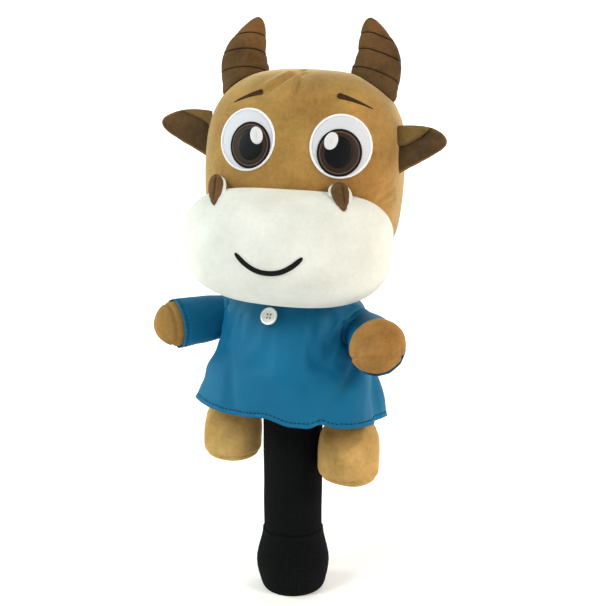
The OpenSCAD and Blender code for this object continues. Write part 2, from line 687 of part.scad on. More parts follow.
// Side view of a leg: its top narrows to a rounded ridge on the hip's axis
function leg_wedge(inset) =
    let (r = hip_root - inset, deep = leg_r + 1,
         half = [[deep, -leg_len - 1], [deep, -24], [leg_r * 0.8 - inset, -14], [leg_r * 0.5 - inset, -6]])
    concat(half, [for (a = [10:20:170]) [r * cos(a), r * sin(a)]],
           [for (k = [3:-1:0]) [-half[k][0], half[k][1]]]);
module leg_form(inset) {
    intersection() {
        rotate_extrude($fn = 48) polygon(leg_outline(inset));
        rotate([90, 0, 90]) translate([0, 0, -leg_r - 1])
            linear_extrude(2 * leg_r + 2) polygon(leg_wedge(inset));
    }
}
module on_leg(side) {
    on_body() translate([side * leg_x, -2, hip_z]) children();
}
module leg_cut(above) {
    translate([-leg_r - 2, -leg_r - 2, above ? -leg_len + sole_h : -leg_len - 2])
        cube([2 * leg_r + 4, 2 * leg_r + 4, above ? leg_len : sole_h + 2]);
}
module leg_shell(above) {
    intersection() {
        difference() {
            leg_form(0);
            leg_form(plush);
        }
        leg_cut(above);
    }
}
module leg_skin(side) { color("#c08d55") on_leg(side) leg_shell(true); }
module leg_sole(side) { color("#c9995f") on_leg(side) leg_shell(false); }
module leg_stuffing(side) { color("#f4f1ea") on_leg(side) leg_form(plush + 0.1); }

// ---- shirt -------------------------------------------------------------------------

armhole_x = arm_pivot[0] + 0.5;
armhole_room = 2.2;
armhole_r = arm_r + sleeve_ease + shirt_t + armhole_room;
armhole_in = 10.5;
armpit_z = arm_z - armhole_r;
hem_z = waist_z - hem_drop;
neck_w = head_w * neck_share + 6;

// Edge points down one side: shoulder seam, half the armhole and the side seam
function shirt_edge(way) = concat(
    [[neck_w, 0, arm_z + armhole_r + 1.5], [mix(neck_w, armhole_x, 0.5), arm_y / 2, arm_z + armhole_r + 1]],
    [for (a = [0:45:180]) [armhole_x - (way < 0 ? armhole_in * sin(a) : 0),
                           arm_y + way * armhole_r * (way < 0 ? 1.15 : 1) * sin(a), arm_z + armhole_r * cos(a)]],
    [for (t = [0.2, 0.45, 0.75, 1]) [mix(armhole_x, hem_w, pow(t, 1.2)), mix(arm_y, 0, t), mix(armpit_z, hem_z, t)]]);
// Distance of the middle of the front, and of the back, from the body's axis against
// height above the waist: over the belly it follows the body, and at the hem it hangs free
shirt_front_mid = [[-hem_drop, hem_d + 2], [10, mix(hem_d, belly_d + 8, 0.7)], [23, belly_d + 7],
    [36, belly_d + 6.5], [46, belly_d + 6], [55, belly_d + 5.5], [63, belly_d + 4.5], [70, belly_d + 3],
    [75, belly_d + 1], [79, belly_d - 3], [80.5, belly_d - 5]];
shirt_back_mid = [[-hem_drop, hem_d], [23, belly_d + 3], [46, belly_d - 0.5], [63, belly_d - 2],
    [70, belly_d - 3], [75, belly_d - 4], [79, belly_d - 6], [80.5, belly_d - 7]];
shirt_mid_rows = [80.5, 79, 75, 70, 63, 55, 46, 36, 23, 10, -hem_drop];
SHIRT_E = 2.55;
function shirt_rows(way) =
    let (edge = shirt_edge(way), m = len(edge) - 1)
    [for (j = [m:-1:0]) let (e = edge[j], h = shirt_mid_rows[j],
        y = (way < 0 ? -along(shirt_front_mid, h) : along(shirt_back_mid, h)))
        [for (k = [-7:7]) let (t = 90 * k / 7 * -way, c = pow(cos(t), 2 / SHIRT_E))
            [e[0] * bent(sin(t), SHIRT_E), mix(e[1], y, c), mix(e[2], waist_z + h, c)]]];
module shirt_panel(way) {
    rows = shirt_rows(way);
    color("#2f7fb0") on_body() panel(thicker(rows, shirt_t), rows);
}
module shirt_front() { shirt_panel(-1); }
module shirt_back() { shirt_panel(1); }

module shirt_neckband() {
    low = body_h - 10.6;
    levels = [low, low + 2.6];
    function band(off) = [for (h = levels) [for (p = body_ring(low, -off)) [p[0], p[1], waist_z + h]]];
    color("#2a76a6") on_body() tube(band(2 * seam + 1.2), band(2 * seam));
}

// ---- button ------------------------------------------------------------------------

button_z = waist_z + 73;
button_lean = 22;
button_lift = 0.4;
module on_button() {
    on_body() translate([0, -along(shirt_front_mid, button_z - waist_z) - shirt_t - button_lift, button_z])
        rotate([90 - button_lean, 0, 0]) children();
}
module button() {
    r = button_d / 2;
    color("#f2f2ee") on_button() difference() {
        rotate_extrude($fn = 40) polygon([
            [0, 0], [r - 0.8, 0], [r, 0.7], [r, 1.5], [r - 0.5, 2.1], [r - 1.2, 2.1], [r - 1.9, 1.4], [0, 1.2]]);
        for (a = [45:90:315]) rotate([0, 0, a]) translate([r * 0.27, 0, -1]) cylinder(d = 1.5, h = 4, $fn = 20);
    }
}
module button_thread() {
    r = button_d / 2 * 0.27;
    color("#e6e6e0") on_button() for (a = [45, 135]) rotate([0, 0, a])
        translate([-r - 0.4, -0.4, 1.4]) cube([2 * r + 0.8, 0.8, 0.4]);
}

// ---- pieces ------------------------------------------------------------------------

sock_neck();
sock_cuff();
cuff_elastic();
pocket_lining();
torso_stuffing();
torso_front();
torso_back();
torso_base();
head_stuffing();
face_panel();
head_back_left();
head_back_right();
muzzle_skin();
muzzle_stuffing();
nostril(1);  // nostril_left
nostril(-1);  // nostril_right
smile_stitch();
eye_white(1);  // eye_white_left
eye_white(-1);  // eye_white_right
iris(1);  // iris_left
iris(-1);  // iris_right
pupil(1);  // pupil_left
pupil(-1);  // pupil_right
highlight(1);  // highlight_left
highlight(-1);  // highlight_right
brow(1);  // brow_left
brow(-1);  // brow_right
horn_skin(1);  // horn_skin_left
horn_skin(-1);  // horn_skin_right
horn_stuffing(1);  // horn_stuffing_left
horn_stuffing(-1);  // horn_stuffing_right
ear_outer(1);  // ear_outer_left
ear_outer(-1);  // ear_outer_right
ear_inner(1);  // ear_inner_left
ear_inner(-1);  // ear_inner_right
arm_skin(1);  // arm_skin_left
arm_skin(-1);  // arm_skin_right
arm_hoof(1);  // arm_hoof_left
arm_hoof(-1);  // arm_hoof_right
arm_stuffing(1);  // arm_stuffing_left
arm_stuffing(-1);  // arm_stuffing_right
sleeve(1);  // sleeve_left
sleeve(-1);  // sleeve_right
leg_skin(1);  // leg_skin_left
leg_skin(-1);  // leg_skin_right
leg_sole(1);  // leg_sole_left
leg_sole(-1);  // leg_sole_right
leg_stuffing(1);  // leg_stuffing_left
leg_stuffing(-1);  // leg_stuffing_right
shirt_front();
shirt_back();
shirt_neckband();
button();
button_thread();
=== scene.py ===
import json
import math

import bmesh
import bpy
from mathutils import Matrix, Vector, noise
from mathutils.bvhtree import BVHTree
from mathutils.kdtree import KDTree

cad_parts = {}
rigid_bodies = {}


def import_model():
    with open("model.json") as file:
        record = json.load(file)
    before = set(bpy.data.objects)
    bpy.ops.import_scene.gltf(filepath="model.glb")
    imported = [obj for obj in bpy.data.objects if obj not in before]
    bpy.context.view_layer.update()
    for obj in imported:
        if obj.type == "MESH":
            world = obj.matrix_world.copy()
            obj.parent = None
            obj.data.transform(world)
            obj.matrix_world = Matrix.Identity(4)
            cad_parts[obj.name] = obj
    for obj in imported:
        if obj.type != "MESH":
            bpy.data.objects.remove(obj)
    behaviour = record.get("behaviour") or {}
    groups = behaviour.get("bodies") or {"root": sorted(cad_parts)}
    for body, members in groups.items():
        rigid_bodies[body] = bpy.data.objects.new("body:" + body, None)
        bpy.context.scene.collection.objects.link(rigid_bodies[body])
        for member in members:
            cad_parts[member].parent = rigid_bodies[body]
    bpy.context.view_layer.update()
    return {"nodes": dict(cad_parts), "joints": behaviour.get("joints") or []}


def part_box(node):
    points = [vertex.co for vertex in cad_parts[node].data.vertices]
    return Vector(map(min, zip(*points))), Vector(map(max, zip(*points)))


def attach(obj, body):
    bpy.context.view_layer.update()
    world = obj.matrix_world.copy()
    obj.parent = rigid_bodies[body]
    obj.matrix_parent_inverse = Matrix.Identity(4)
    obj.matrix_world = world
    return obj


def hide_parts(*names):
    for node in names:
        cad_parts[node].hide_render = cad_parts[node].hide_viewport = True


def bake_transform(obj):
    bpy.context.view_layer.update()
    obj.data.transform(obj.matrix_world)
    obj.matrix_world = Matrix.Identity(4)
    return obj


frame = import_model()
MM = 0.001

# ---- Camera, lamps and floor ---------------------------------------------------------
# A toy maker's table shot: the toy stands on its sock's cuff on a pale paper sweep in a
# white room. One soft lamp is in front and to the left, a warm one to the right, a weaker
# one further to the left and the weakest behind.

aim = Vector((7.25, 3.38, 228)) * MM
camera_azimuth, camera_elevation, camera_distance = math.radians(25), math.radians(6), 0.6
camera_lens = 45.7
camera = bpy.data.objects.new("camera", bpy.data.cameras.new("camera"))
bpy.context.collection.objects.link(camera)
toward_camera = Vector((math.sin(camera_azimuth) * math.cos(camera_elevation),
                        -math.cos(camera_azimuth) * math.cos(camera_elevation),
                        math.sin(camera_elevation)))
camera.location = aim + toward_camera * camera_distance
camera.rotation_euler = (-toward_camera).to_track_quat("-Z", "Y").to_euler()
camera.data.lens = camera_lens
camera.data.clip_start = 0.01
bpy.context.scene.camera = camera
bpy.context.scene.view_settings.view_transform = "Standard"
lamps_aim, lamp_size, room_light = Vector((0, 0, 0.26)), 0.4, 0.22


def soft_lamp(name, place, power, size=lamp_size, tint=(1, 1, 1)):
    """A square soft box that looks at the toy."""
    lamp = bpy.data.objects.new(name, bpy.data.lights.new(name, "AREA"))
    bpy.context.collection.objects.link(lamp)
    lamp.location = Vector(place)
    lamp.rotation_euler = (Vector(place) - lamps_aim).to_track_quat("Z", "Y").to_euler()
    lamp.data.energy, lamp.data.size, lamp.data.color = power, size, tint


soft_lamp("key_lamp", (-0.45, -0.85, 0.95), 8.6, tint=(0.95, 1, 0.97))
soft_lamp("side_lamp", (1.15, -0.2, 0.7), 11, tint=(1, 0.88, 0.72))
soft_lamp("left_lamp", (-1.1, -0.25, 0.6), 6.5, tint=(0.96, 1, 0.8))
soft_lamp("back_lamp", (0.2, 1.0, 0.9), 3, size=0.5)
world = bpy.data.worlds.new("room")
world.use_nodes = True
world.node_tree.nodes["Background"].inputs["Color"].default_value = (1, 1, 1, 1)
world.node_tree.nodes["Background"].inputs["Strength"].default_value = room_light
bpy.context.scene.world = world


def material(name, roughness, **sockets):
    """A new material, with its constants set on the shader's own sockets."""
    m = bpy.data.materials.new(name)
    m.use_nodes = True
    shader = m.node_tree.nodes["Principled BSDF"]
    shader.inputs["Roughness"].default_value = roughness
    for socket, value in sockets.items():
        shader.inputs[socket.replace("_", " ")].default_value = value
    return m, m.node_tree, shader


def node(tree, kind, **values):
    """A shader node with its settings, and its input sockets by name."""
    n = tree.nodes.new(kind)
    for key, value in values.items():
        if key in n.inputs:
            n.inputs[key].default_value = value
        else:
            setattr(n, key, value)
    return n


def piece(name, bm, finish, body):
    """The finished piece: its mesh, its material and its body."""
    mesh = bpy.data.meshes.new(name)
    bm.to_mesh(mesh)
    bm.free()
    mesh.polygons.foreach_set("use_smooth", [True] * len(mesh.polygons))
    made = bpy.data.objects.new(name, mesh)
    bpy.context.collection.objects.link(made)
    if finish:
        mesh.materials.append(finish)
    if body:
        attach(made, body)
    return made


floor_half, floor_back, sweep, paper_top = 3.0, 1.6, 0.7, 3.2
bend = [math.radians(a) for a in range(10, 91, 10)]
side_line = ([(-floor_half, 0), (floor_back, 0)]
             + [(floor_back + sweep * math.sin(a), sweep * (1 - math.cos(a))) for a in bend]
             + [(floor_back + sweep, paper_top)])
bm = bmesh.new()
line = [bm.verts.new((-floor_half, y, z)) for y, z in side_line]
chain = [bm.edges.new(pair) for pair in zip(line, line[1:])]
drawn = bmesh.ops.extrude_edge_only(bm, edges=chain)
bmesh.ops.translate(bm, vec=(2 * floor_half, 0, 0),
                    verts=[v for v in drawn["geom"] if isinstance(v, bmesh.types.BMVert)])
bmesh.ops.recalc_face_normals(bm, faces=bm.faces)
paper, paper_tree, paper_shader = material("paper_sweep", 0.9)
paper_shader.inputs["Base Color"].default_value = (0.93, 0.93, 0.93, 1)
paper_shader.inputs["Emission Color"].default_value = (1, 1, 1, 1)
paper_place = node(paper_tree, "ShaderNodeTexCoord")
paper_parts = node(paper_tree, "ShaderNodeSeparateXYZ")
paper_tree.links.new(paper_place.outputs["Object"], paper_parts.inputs[0])
backlight = node(paper_tree, "ShaderNodeMapRange")
backlight.inputs["From Min"].default_value, backlight.inputs["From Max"].default_value = 0.0, 1.2
backlight.inputs["To Min"].default_value, backlight.inputs["To Max"].default_value = 0.15, 0.8
paper_tree.links.new(paper_parts.outputs["Y"], backlight.inputs["Value"])
paper_tree.links.new(backlight.outputs[0], paper_shader.inputs["Emission Strength"])
sweep_piece = piece("paper_sweep", bm, paper, None)

# ---- Sock neck -----------------------------------------------------------------------
# A black tube of doubled rib knit, sewn up inside the body. It stretches over the club's
# head and grips the shaft. Fine ribs run up it, and it creases a little where it bends.

sock_low, sock_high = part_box("sock_neck")
bore = 20.0 * MM
rib_count, rib_depth, stitch_row = 84, 0.22 * MM, 1.5 * MM
ring_steps = rib_count * 6


def merged(*names):
    """These CAD nodes' meshes in one bmesh, with their doubles merged."""
    bm = bmesh.new()
    for name in names:
        bm.from_mesh(frame["nodes"][name].data)
    bmesh.ops.remove_doubles(bm, verts=bm.verts, dist=0.01 * MM)
    return bm


def spun(profile, steps, closed=True):
    """A chain of (radius, height) points spun round +Z."""
    bm = bmesh.new()
    points = [bm.verts.new((r, 0, z)) for r, z in profile]
    pairs = list(zip(points, points[1:])) + ([(points[-1], points[0])] if closed else [])
    edges = [bm.edges.new(pair) for pair in pairs]
    bmesh.ops.spin(bm, geom=points + edges, cent=(0, 0, 0), axis=(0, 0, 1), dvec=(0, 0, 0),
                   angle=2 * math.pi, steps=steps, use_merge=True)
    bmesh.ops.remove_doubles(bm, verts=bm.verts, dist=1e-7)
    bmesh.ops.recalc_face_normals(bm, faces=bm.faces)
    return bm


def srgb(code):
    """A colour as it's named on a swatch, made linear."""
    parts = [int(code[i:i + 2], 16) / 255 for i in (0, 2, 4)]
    return (*[p / 12.92 if p < 0.04 else ((p + 0.055) / 1.055) ** 2.4 for p in parts], 1.0)


def times(tree, source, factor, plus=None):
    """A socket's value times a factor, plus another socket's value."""
    n = node(tree, "ShaderNodeMath", operation="MULTIPLY_ADD" if plus else "MULTIPLY")
    n.inputs[1].default_value = factor
    tree.links.new(source, n.inputs[0])
    if plus:
        tree.links.new(plus, n.inputs[2])
    return n.outputs[0]


def worked(tree, source, operation, second=None):
    """One socket's value, or two sockets' values, worked by one operation."""
    n = node(tree, "ShaderNodeMath", operation=operation)
    tree.links.new(source, n.inputs[0])
    if second:
        tree.links.new(second, n.inputs[1])
    return n.outputs[0]


def raised(tree, shader, height, strength, distance):
    """Gives the shader the small relief that a height stands for."""
    bump = node(tree, "ShaderNodeBump", Strength=strength, Distance=distance)
    tree.links.new(height, bump.inputs["Height"])
    tree.links.new(bump.outputs[0], shader.inputs["Normal"])


def two_tones(tree, value, low, high, low_at=0.0, high_at=1.0):
    """A colour that goes from low to high as a value climbs."""
    ramp = node(tree, "ShaderNodeValToRGB")
    first, last = ramp.color_ramp.elements
    first.position, first.color = low_at, low
    last.position, last.color = high_at, high
    tree.links.new(value, ramp.inputs[0])
    return ramp.outputs[0]


def knit_finish():
    """Black rib knit: columns of small V stitches, a little grey along the ribs' crowns as a painted
    highlight, and darker in the furrows between them as painted shade.
    """
    m, tree, shader = material("black_rib_knit", 0.9, Specular_IOR_Level=0.12)
    place = node(tree, "ShaderNodeTexCoord").outputs["Object"]
    split = node(tree, "ShaderNodeSeparateXYZ")
    tree.links.new(place, split.inputs[0])
    turn = worked(tree, split.outputs["Y"], "ARCTAN2", split.outputs["X"])
    wale = worked(tree, times(tree, turn, rib_count), "COSINE")
    slant = times(tree, worked(tree, wale, "ABSOLUTE"), 2.4)
    stitch = worked(tree, times(tree, split.outputs["Z"], 2 * math.pi / stitch_row, slant), "SINE")
    fuzz = node(tree, "ShaderNodeTexNoise", Scale=900.0, Detail=3.0)
    tree.links.new(place, fuzz.inputs["Vector"])
    raised(tree, shader, times(tree, stitch, 0.5, fuzz.outputs["Fac"]), 0.7, 0.25 * MM)
    # Painted highlight and painted shade: the colour is lighter on the ribs' crowns and darker in their
    # furrows, with some random fuzz.
    crown = times(tree, wale, 0.35, fuzz.outputs["Fac"])
    tone = two_tones(tree, crown, srgb("020305"), srgb("0a0d10"), 0.2, 0.9)
    tree.links.new(tone, shader.inputs["Base Color"])
    return m


knit = knit_finish()


def ribbed(bm, inner, swell=0.0):
    """Raises ribs on a spun tube's outside and lets its wall wander, and swell, as knit does."""
    for v in bm.verts:
        flat = Vector((v.co.x, v.co.y, 0))
        share = min(1, max(0, (flat.length - inner) / (1.5 * MM)))
        turn = math.atan2(v.co.y, v.co.x)
        rib = rib_depth * (0.5 + 0.5 * math.cos(rib_count * turn)) - rib_depth
        sag = 0.5 * MM * noise.noise(Vector((v.co.x * 26, v.co.y * 26, v.co.z * 34)))
        full = swell * min(1, max(0, v.co.z / swell_from - 1))
        v.co += flat.normalized() * share * (rib + sag + full)


neck_steps, swell_from = 70, 60 * MM
sock_radius, sock_length = sock_high.x, sock_high.z - sock_low.z
wall = [(sock_radius, sock_low.z + sock_length * k / neck_steps) for k in range(neck_steps + 1)]
inside = [(bore, sock_high.z), (bore, (sock_high.z + sock_low.z) / 2), (bore, sock_low.z)]
bm = spun(wall + inside, ring_steps)
ribbed(bm, bore + 0.2 * MM, 0.5 * MM)
sock = piece("sock_neck_knit", bm, knit, "toy")
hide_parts("sock_neck")

# ---- Sock cuff -----------------------------------------------------------------------
# The foot of the sock is folded up outside itself over a band of elastic, so that it
# bulges into a soft bulb with a doubled wall and a hemmed lap at its top.

cuff_low, cuff_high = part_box("sock_cuff")
cuff_tree = BVHTree.FromBMesh(merged("sock_cuff"))
cuff_levels, foot_round, lap_gap = 44, 13 * MM, 0.3 * MM
cuff_profile = []
for k in range(cuff_levels + 1):
    z = cuff_low.z + (cuff_high.z - cuff_low.z) * min(0.999, max(0.003, k / cuff_levels))
    hit = cuff_tree.ray_cast(Vector((0.2, 0.0001, z)), Vector((-1, 0, 0)))[0]
    rise = min(1, (z - cuff_low.z) / foot_round)
    cuff_profile.append((sock_radius + (hit.x - sock_radius) * math.sqrt(1 - (1 - rise) ** 2), z))
lap = [(cuff_profile[-1][0] - 1.0 * MM, cuff_high.z), (sock_radius + lap_gap, cuff_high.z - 0.5 * MM),
       (sock_radius + lap_gap, sock_low.z), (bore, sock_low.z)]
bm = spun([(bore, cuff_low.z)] + cuff_profile + lap, ring_steps)
ribbed(bm, sock_radius + 0.5 * MM)
cuff = piece("sock_cuff_knit", bm, knit, "toy")
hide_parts("sock_cuff")

# ---- Cuff elastic and pocket lining --------------------------------------------------
# The elastic is a woven band inside the cuff's fold. The lining is a grey fleece bag that
# the club's head goes into. Both are cut and sewn before the toy is closed, and are hidden.


def multiplied(tree, colour, factors, share):
    """A colour multiplied by these factors, as far as a share goes."""
    mix = node(tree, "ShaderNodeMix", data_type="RGBA", blend_type="MULTIPLY")
    mix.inputs[7].default_value = factors
    tree.links.new(share, mix.inputs[0])
    tree.links.new(colour, mix.inputs[6])
    return mix.outputs[2]


def fabric_finish(name, low, high, grain, sheen, roughness=0.9, depth=0.3, mottle=35.0,
                  second=None, bloom=None):
    """A pile fabric: two tones that drift over the piece, crushed spots and fine fibres."""
    m, tree, shader = material(name, roughness, Sheen_Weight=sheen, Sheen_Roughness=0.45,
                               Specular_IOR_Level=0.18)
    shader.inputs["Sheen Tint"].default_value = srgb(bloom or high)
    place = node(tree, "ShaderNodeTexCoord").outputs["Object"]
    drift = node(tree, "ShaderNodeTexNoise", Scale=mottle, Detail=3.0, Roughness=0.55)
    spots = node(tree, "ShaderNodeTexNoise", Scale=grain * 0.22, Detail=3.0, Roughness=0.6)
    pile = node(tree, "ShaderNodeTexNoise", Scale=grain, Detail=2.0, Roughness=0.7)
    for texture in (drift, spots, pile):
        tree.links.new(place, texture.inputs["Vector"])
    drift_share, pile_share, spot_share, contrast = 0.58, 0.2, 0.22, 0.5
    tone = times(tree, drift.outputs["Fac"], drift_share)
    tone = times(tree, pile.outputs["Fac"], pile_share, tone)
    tone = times(tree, spots.outputs["Fac"], spot_share, tone)
    colour = two_tones(tree, tone, srgb(low), srgb(high), 0.5 - contrast / 3, 0.5 + contrast / 3)
    if second:
        patches = node(tree, "ShaderNodeTexNoise", Scale=14.0, Detail=2.0)
        tree.links.new(place, patches.inputs["Vector"])
        amount = node(tree, "ShaderNodeMapRange")
        amount.inputs["From Min"].default_value, amount.inputs["From Max"].default_value = 0.35, 0.65
        tree.links.new(patches.outputs["Fac"], amount.inputs["Value"])
        colour = multiplied(tree, colour, second, amount.outputs[0])
    tree.links.new(colour, shader.inputs["Base Color"])
    raised(tree, shader, times(tree, spots.outputs["Fac"], 0.8, pile.outputs["Fac"]), 0.75, depth * MM)
    return m


elastic = fabric_finish("woven_elastic", "b8b0a4", "d9d4c9", 1600.0, 0.1)
elastic_band = frame["nodes"]["cuff_elastic"]
elastic_band.data.materials.clear()
elastic_band.data.materials.append(elastic)
fleece = fabric_finish("grey_fleece", "5d5a57", "7f7b77", 700.0, 0.4, depth=0.5)


def unsplit(bm):
    """Joins a CAD mesh's triangles in pairs, back into the faces they were cut from."""
    bmesh.ops.join_triangles(bm, faces=bm.faces, angle_face_threshold=0.9, angle_shape_threshold=1.2)


def rounded(bm):
    """The smooth surface that a faceted mesh stands for."""
    unsplit(bm)
    mesh = bpy.data.meshes.new("rounding")
    bm.to_mesh(mesh)
    bm.free()
    holder = bpy.data.objects.new("rounding", mesh)
    bpy.context.collection.objects.link(holder)
    turned = holder.modifiers.new("round", "SUBSURF")
    turned.levels = turned.render_levels = 2
    graph = bpy.context.evaluated_depsgraph_get()
    smooth = bmesh.new()
    smooth.from_mesh(holder.evaluated_get(graph).to_mesh())
    bpy.data.objects.remove(holder)
    bpy.data.meshes.remove(mesh)
    return smooth


bag = piece("pocket_lining_fleece", rounded(merged("pocket_lining")), fleece, "toy")
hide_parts("pocket_lining")

# ---- Body ----------------------------------------------------------------------------
# Two panels and a base of tan short-pile plush, sewn at the sides and stuffed round the
# pocket's passage. The shirt hides nearly all of it.

tan_plush = fabric_finish("tan_plush", "7f592a", "b98b4c", 1500.0, 0.85, depth=0.28,
                          second=(0.9, 1.03, 0.98, 1), bloom="f0e3bb")


def extent(names):
    """The low and the high corner of the box round these CAD nodes."""
    boxes = [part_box(n) for n in names]
    return (Vector([min(low[k] for low, _ in boxes) for k in range(3)]),
            Vector([max(high[k] for _, high in boxes) for k in range(3)]))


def middle(*names):
    """The middle of the box round these CAD nodes."""
    low, high = extent(names)
    return (low + high) / 2


def relaxed(bm, verts, factor, rounds):
    """Evens a mesh out: each vertex moves towards the middle of its neighbours."""
    for _ in range(rounds):
        bmesh.ops.smooth_vert(bm, verts=verts, factor=factor,
                              use_axis_x=True, use_axis_y=True, use_axis_z=True)


def stuffed(centre, detail, names, evens=6):
    """The rounded outside of these CAD nodes, as a ball of even faces drawn on to it."""
    tree = BVHTree.FromBMesh(rounded(merged(*names)))
    low, high = extent(names)
    reach = (high - low).length
    bm = bmesh.new()
    bmesh.ops.create_icosphere(bm, subdivisions=detail, radius=1)
    for v in bm.verts:
        way = v.co.normalized()
        hit = tree.ray_cast(centre + way * reach, -way, reach)[0]
        v.co = hit if hit else centre + way * 5 * MM
        v.tag = hit is None
    relaxed(bm, [v for v in bm.verts if v.tag], 0.8, 40)
    relaxed(bm, bm.verts, 0.5, evens)
    return bm


def lumps(bm, height, size, seed):
    """Slow dents and swells of the filling under the fabric."""
    bm.normal_update()
    moves = [v.normal * height * noise.noise(v.co / size + Vector((seed, 2.3 * seed, 0))) for v in bm.verts]
    for v, move in zip(bm.verts, moves):
        v.co += move


def sewn(bm, path, depth, width, pucker=0.25, step=3.2 * MM):
    """Draws the surface in along a seam, with a small pucker at each stitch."""
    run = [0.0]
    for a, b in zip(path, path[1:]):
        run.append(run[-1] + (b - a).length)
    near = KDTree(len(path))
    for i, p in enumerate(path):
        near.insert(p, i)
    near.balance()
    bm.normal_update()
    moves = []
    for v in bm.verts:
        _, i, far = near.find(v.co)
        share = math.exp(-((far / width) ** 2)) if far < 3 * width else 0
        wave = 1 + pucker * math.cos(2 * math.pi * run[i] / step)
        moves.append(v.normal * -depth * share * wave)
    for v, move in zip(bm.verts, moves):
        v.co += move


body_nodes = ["torso_stuffing", "torso_front", "torso_back", "torso_base"]
bm = stuffed(middle(*body_nodes), 6, body_nodes)
lumps(bm, 0.8 * MM, 30 * MM, 4.0)
body = piece("body_plush", bm, tan_plush, "toy")
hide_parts(*body_nodes)

# ---- Head ----------------------------------------------------------------------------
# A wide face panel and two back panels of the same tan plush, closed by a dart on the
# forehead and seams at the crown, the sides and the back, and stuffed full and tight.

lean, turn, lean_height = math.radians(3.5), math.radians(13), 156 * MM
neck_level, head_level = 242 * MM, 324.6 * MM
to_row = (Matrix.Translation((0, 0, lean_height)) @ Matrix.Rotation(lean, 4, "Y")
          @ Matrix.Translation((0, 0, -lean_height)) @ Matrix.Rotation(turn, 4, "Z"))
to_head = to_row.inverted()
head_nodes = ["head_stuffing", "face_panel", "head_back_left", "head_back_right"]
head_centre = to_row @ Vector((0, 0, head_level - 4 * MM))
bm = stuffed(head_centre, 7, head_nodes)
lumps(bm, 1.0 * MM, 42 * MM, 1.0)
bare_head = BVHTree.FromBMesh(bm)
ray_start = 0.3
away = (to_row.to_3x3() @ Vector((0, 1, 0))).normalized()


def seen(form, x, z):
    """Where a ray from in front meets a form, x across and z up in the head's own frame."""
    return form.ray_cast(to_row @ Vector((x, -ray_start, z)), away)


def found(places):
    """The places that a ray did meet."""
    return [p for p in places if p]


def head_arc(way_of_angle, angles):
    """A seam round the head, by rays towards its middle."""
    ways = [(to_row.to_3x3() @ way_of_angle(math.radians(a))).normalized() for a in angles]
    return found([bare_head.ray_cast(head_centre + way * ray_start, -way)[0] for way in ways])


dart = [seen(bare_head, 0.6 * MM * math.sin(z), head_level + z * MM)[0] for z in range(76, 54, -1)]
side_seam = head_arc(lambda a: Vector((math.cos(a), 0, math.sin(a))), range(-50, 231, 1))
back_seam = head_arc(lambda a: Vector((0, math.cos(a), math.sin(a))), range(-50, 90, 1))
sewn(bm, found(dart), 2.1 * MM, 1.7 * MM, 0.2)

# Creases where the plush pulls: from and to, across and above the head's middle, with depth and width
creases = (((-6, 70), (-19, 58), 1.7, 1.8), ((-9, 73), (-22, 62), -1.0, 2.6), ((4, 72), (12, 60), 0.9, 2.6),
           ((70, -6), (61, -15), 0.9, 1.8), ((71, -13), (62, -19), 0.9, 1.6), ((68, -1), (58, -8), 0.6, 2.0),
           ((-69, -8), (-62, -15), 0.6, 1.8))
for (start_x, start_z), (end_x, end_z), depth, width in creases:
    line = [seen(bare_head, (start_x + (end_x - start_x) * k / 20) * MM,
                 head_level + (start_z + (end_z - start_z) * k / 20) * MM)[0] for k in range(21)]
    sewn(bm, found(line), depth * MM, width * MM, 0)
sewn(bm, side_seam, 0.9 * MM, 1.6 * MM)
sewn(bm, back_seam, 1.0 * MM, 1.6 * MM)
bm.normal_update()
head_form = BVHTree.FromBMesh(bm)
head = piece("head_plush", bm, tan_plush, "toy")
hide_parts(*head_nodes)

# ---- Muzzle --------------------------------------------------------------------------
# A puffed pillow of cream plush, sewn to the face all round with its own stuffing, so it
# stands proud of the head and creases in at its seam.

cream_plush = fabric_finish("cream_plush", "ced1cb", "e4e7e3", 1500.0, 0.12, depth=0.25)
muzzle_nodes = ["muzzle_skin", "muzzle_stuffing"]
bm = stuffed(to_row @ (Vector((0, -52, 271)) * MM), 7, muzzle_nodes)
lumps(bm, 0.7 * MM, 36 * MM, 7.0)
bm.normal_update()
muzzle_form = BVHTree.FromBMesh(bm)
muzzle = piece("muzzle_plush", bm, cream_plush, "toy")
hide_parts(*muzzle_nodes)

# ---- Eyes ----------------------------------------------------------------------------
# Machine embroidery on the face panel, in layers of thread: a white oval with a satin
# border, a black ring, a thin brown ring, the dark iris, the pupil and its highlight.


def thread_finish(name, colour, roughness=0.42, grain=2600.0, depth=0.12, angle=0.0):
    """Close rows of embroidery thread with a soft gloss, painted darker in the grooves between rows as
    painted shade and lighter on the threads as a painted highlight.
    """
    m, tree, shader = material(name, roughness, Specular_IOR_Level=0.14)
    place = node(tree, "ShaderNodeTexCoord").outputs["Object"]
    turned = node(tree, "ShaderNodeMapping")
    turned.inputs["Rotation"].default_value = (0, angle, 0.2)
    tree.links.new(place, turned.inputs["Vector"])
    rows = node(tree, "ShaderNodeTexWave", Scale=grain / 6.5, Distortion=1.2, Detail=1.0)
    fibre = node(tree, "ShaderNodeTexNoise", Scale=grain * 1.4, Detail=2.0)
    tree.links.new(turned.outputs[0], rows.inputs["Vector"])
    tree.links.new(place, fibre.inputs["Vector"])
    height = times(tree, fibre.outputs["Fac"], 0.4, rows.outputs["Fac"])
    raised(tree, shader, height, 0.6, depth * MM)
    # Painted shade and painted highlight: the colour follows the thread relief, darker low in the grooves and
    # lighter on the raised threads.
    base = srgb(colour)[:3]
    dark, light = [c * 0.8 for c in base], [min(1, c * 1.12 + 0.002) for c in base]
    tree.links.new(two_tones(tree, height, (*dark, 1), (*light, 1)), shader.inputs["Base Color"])
    return m


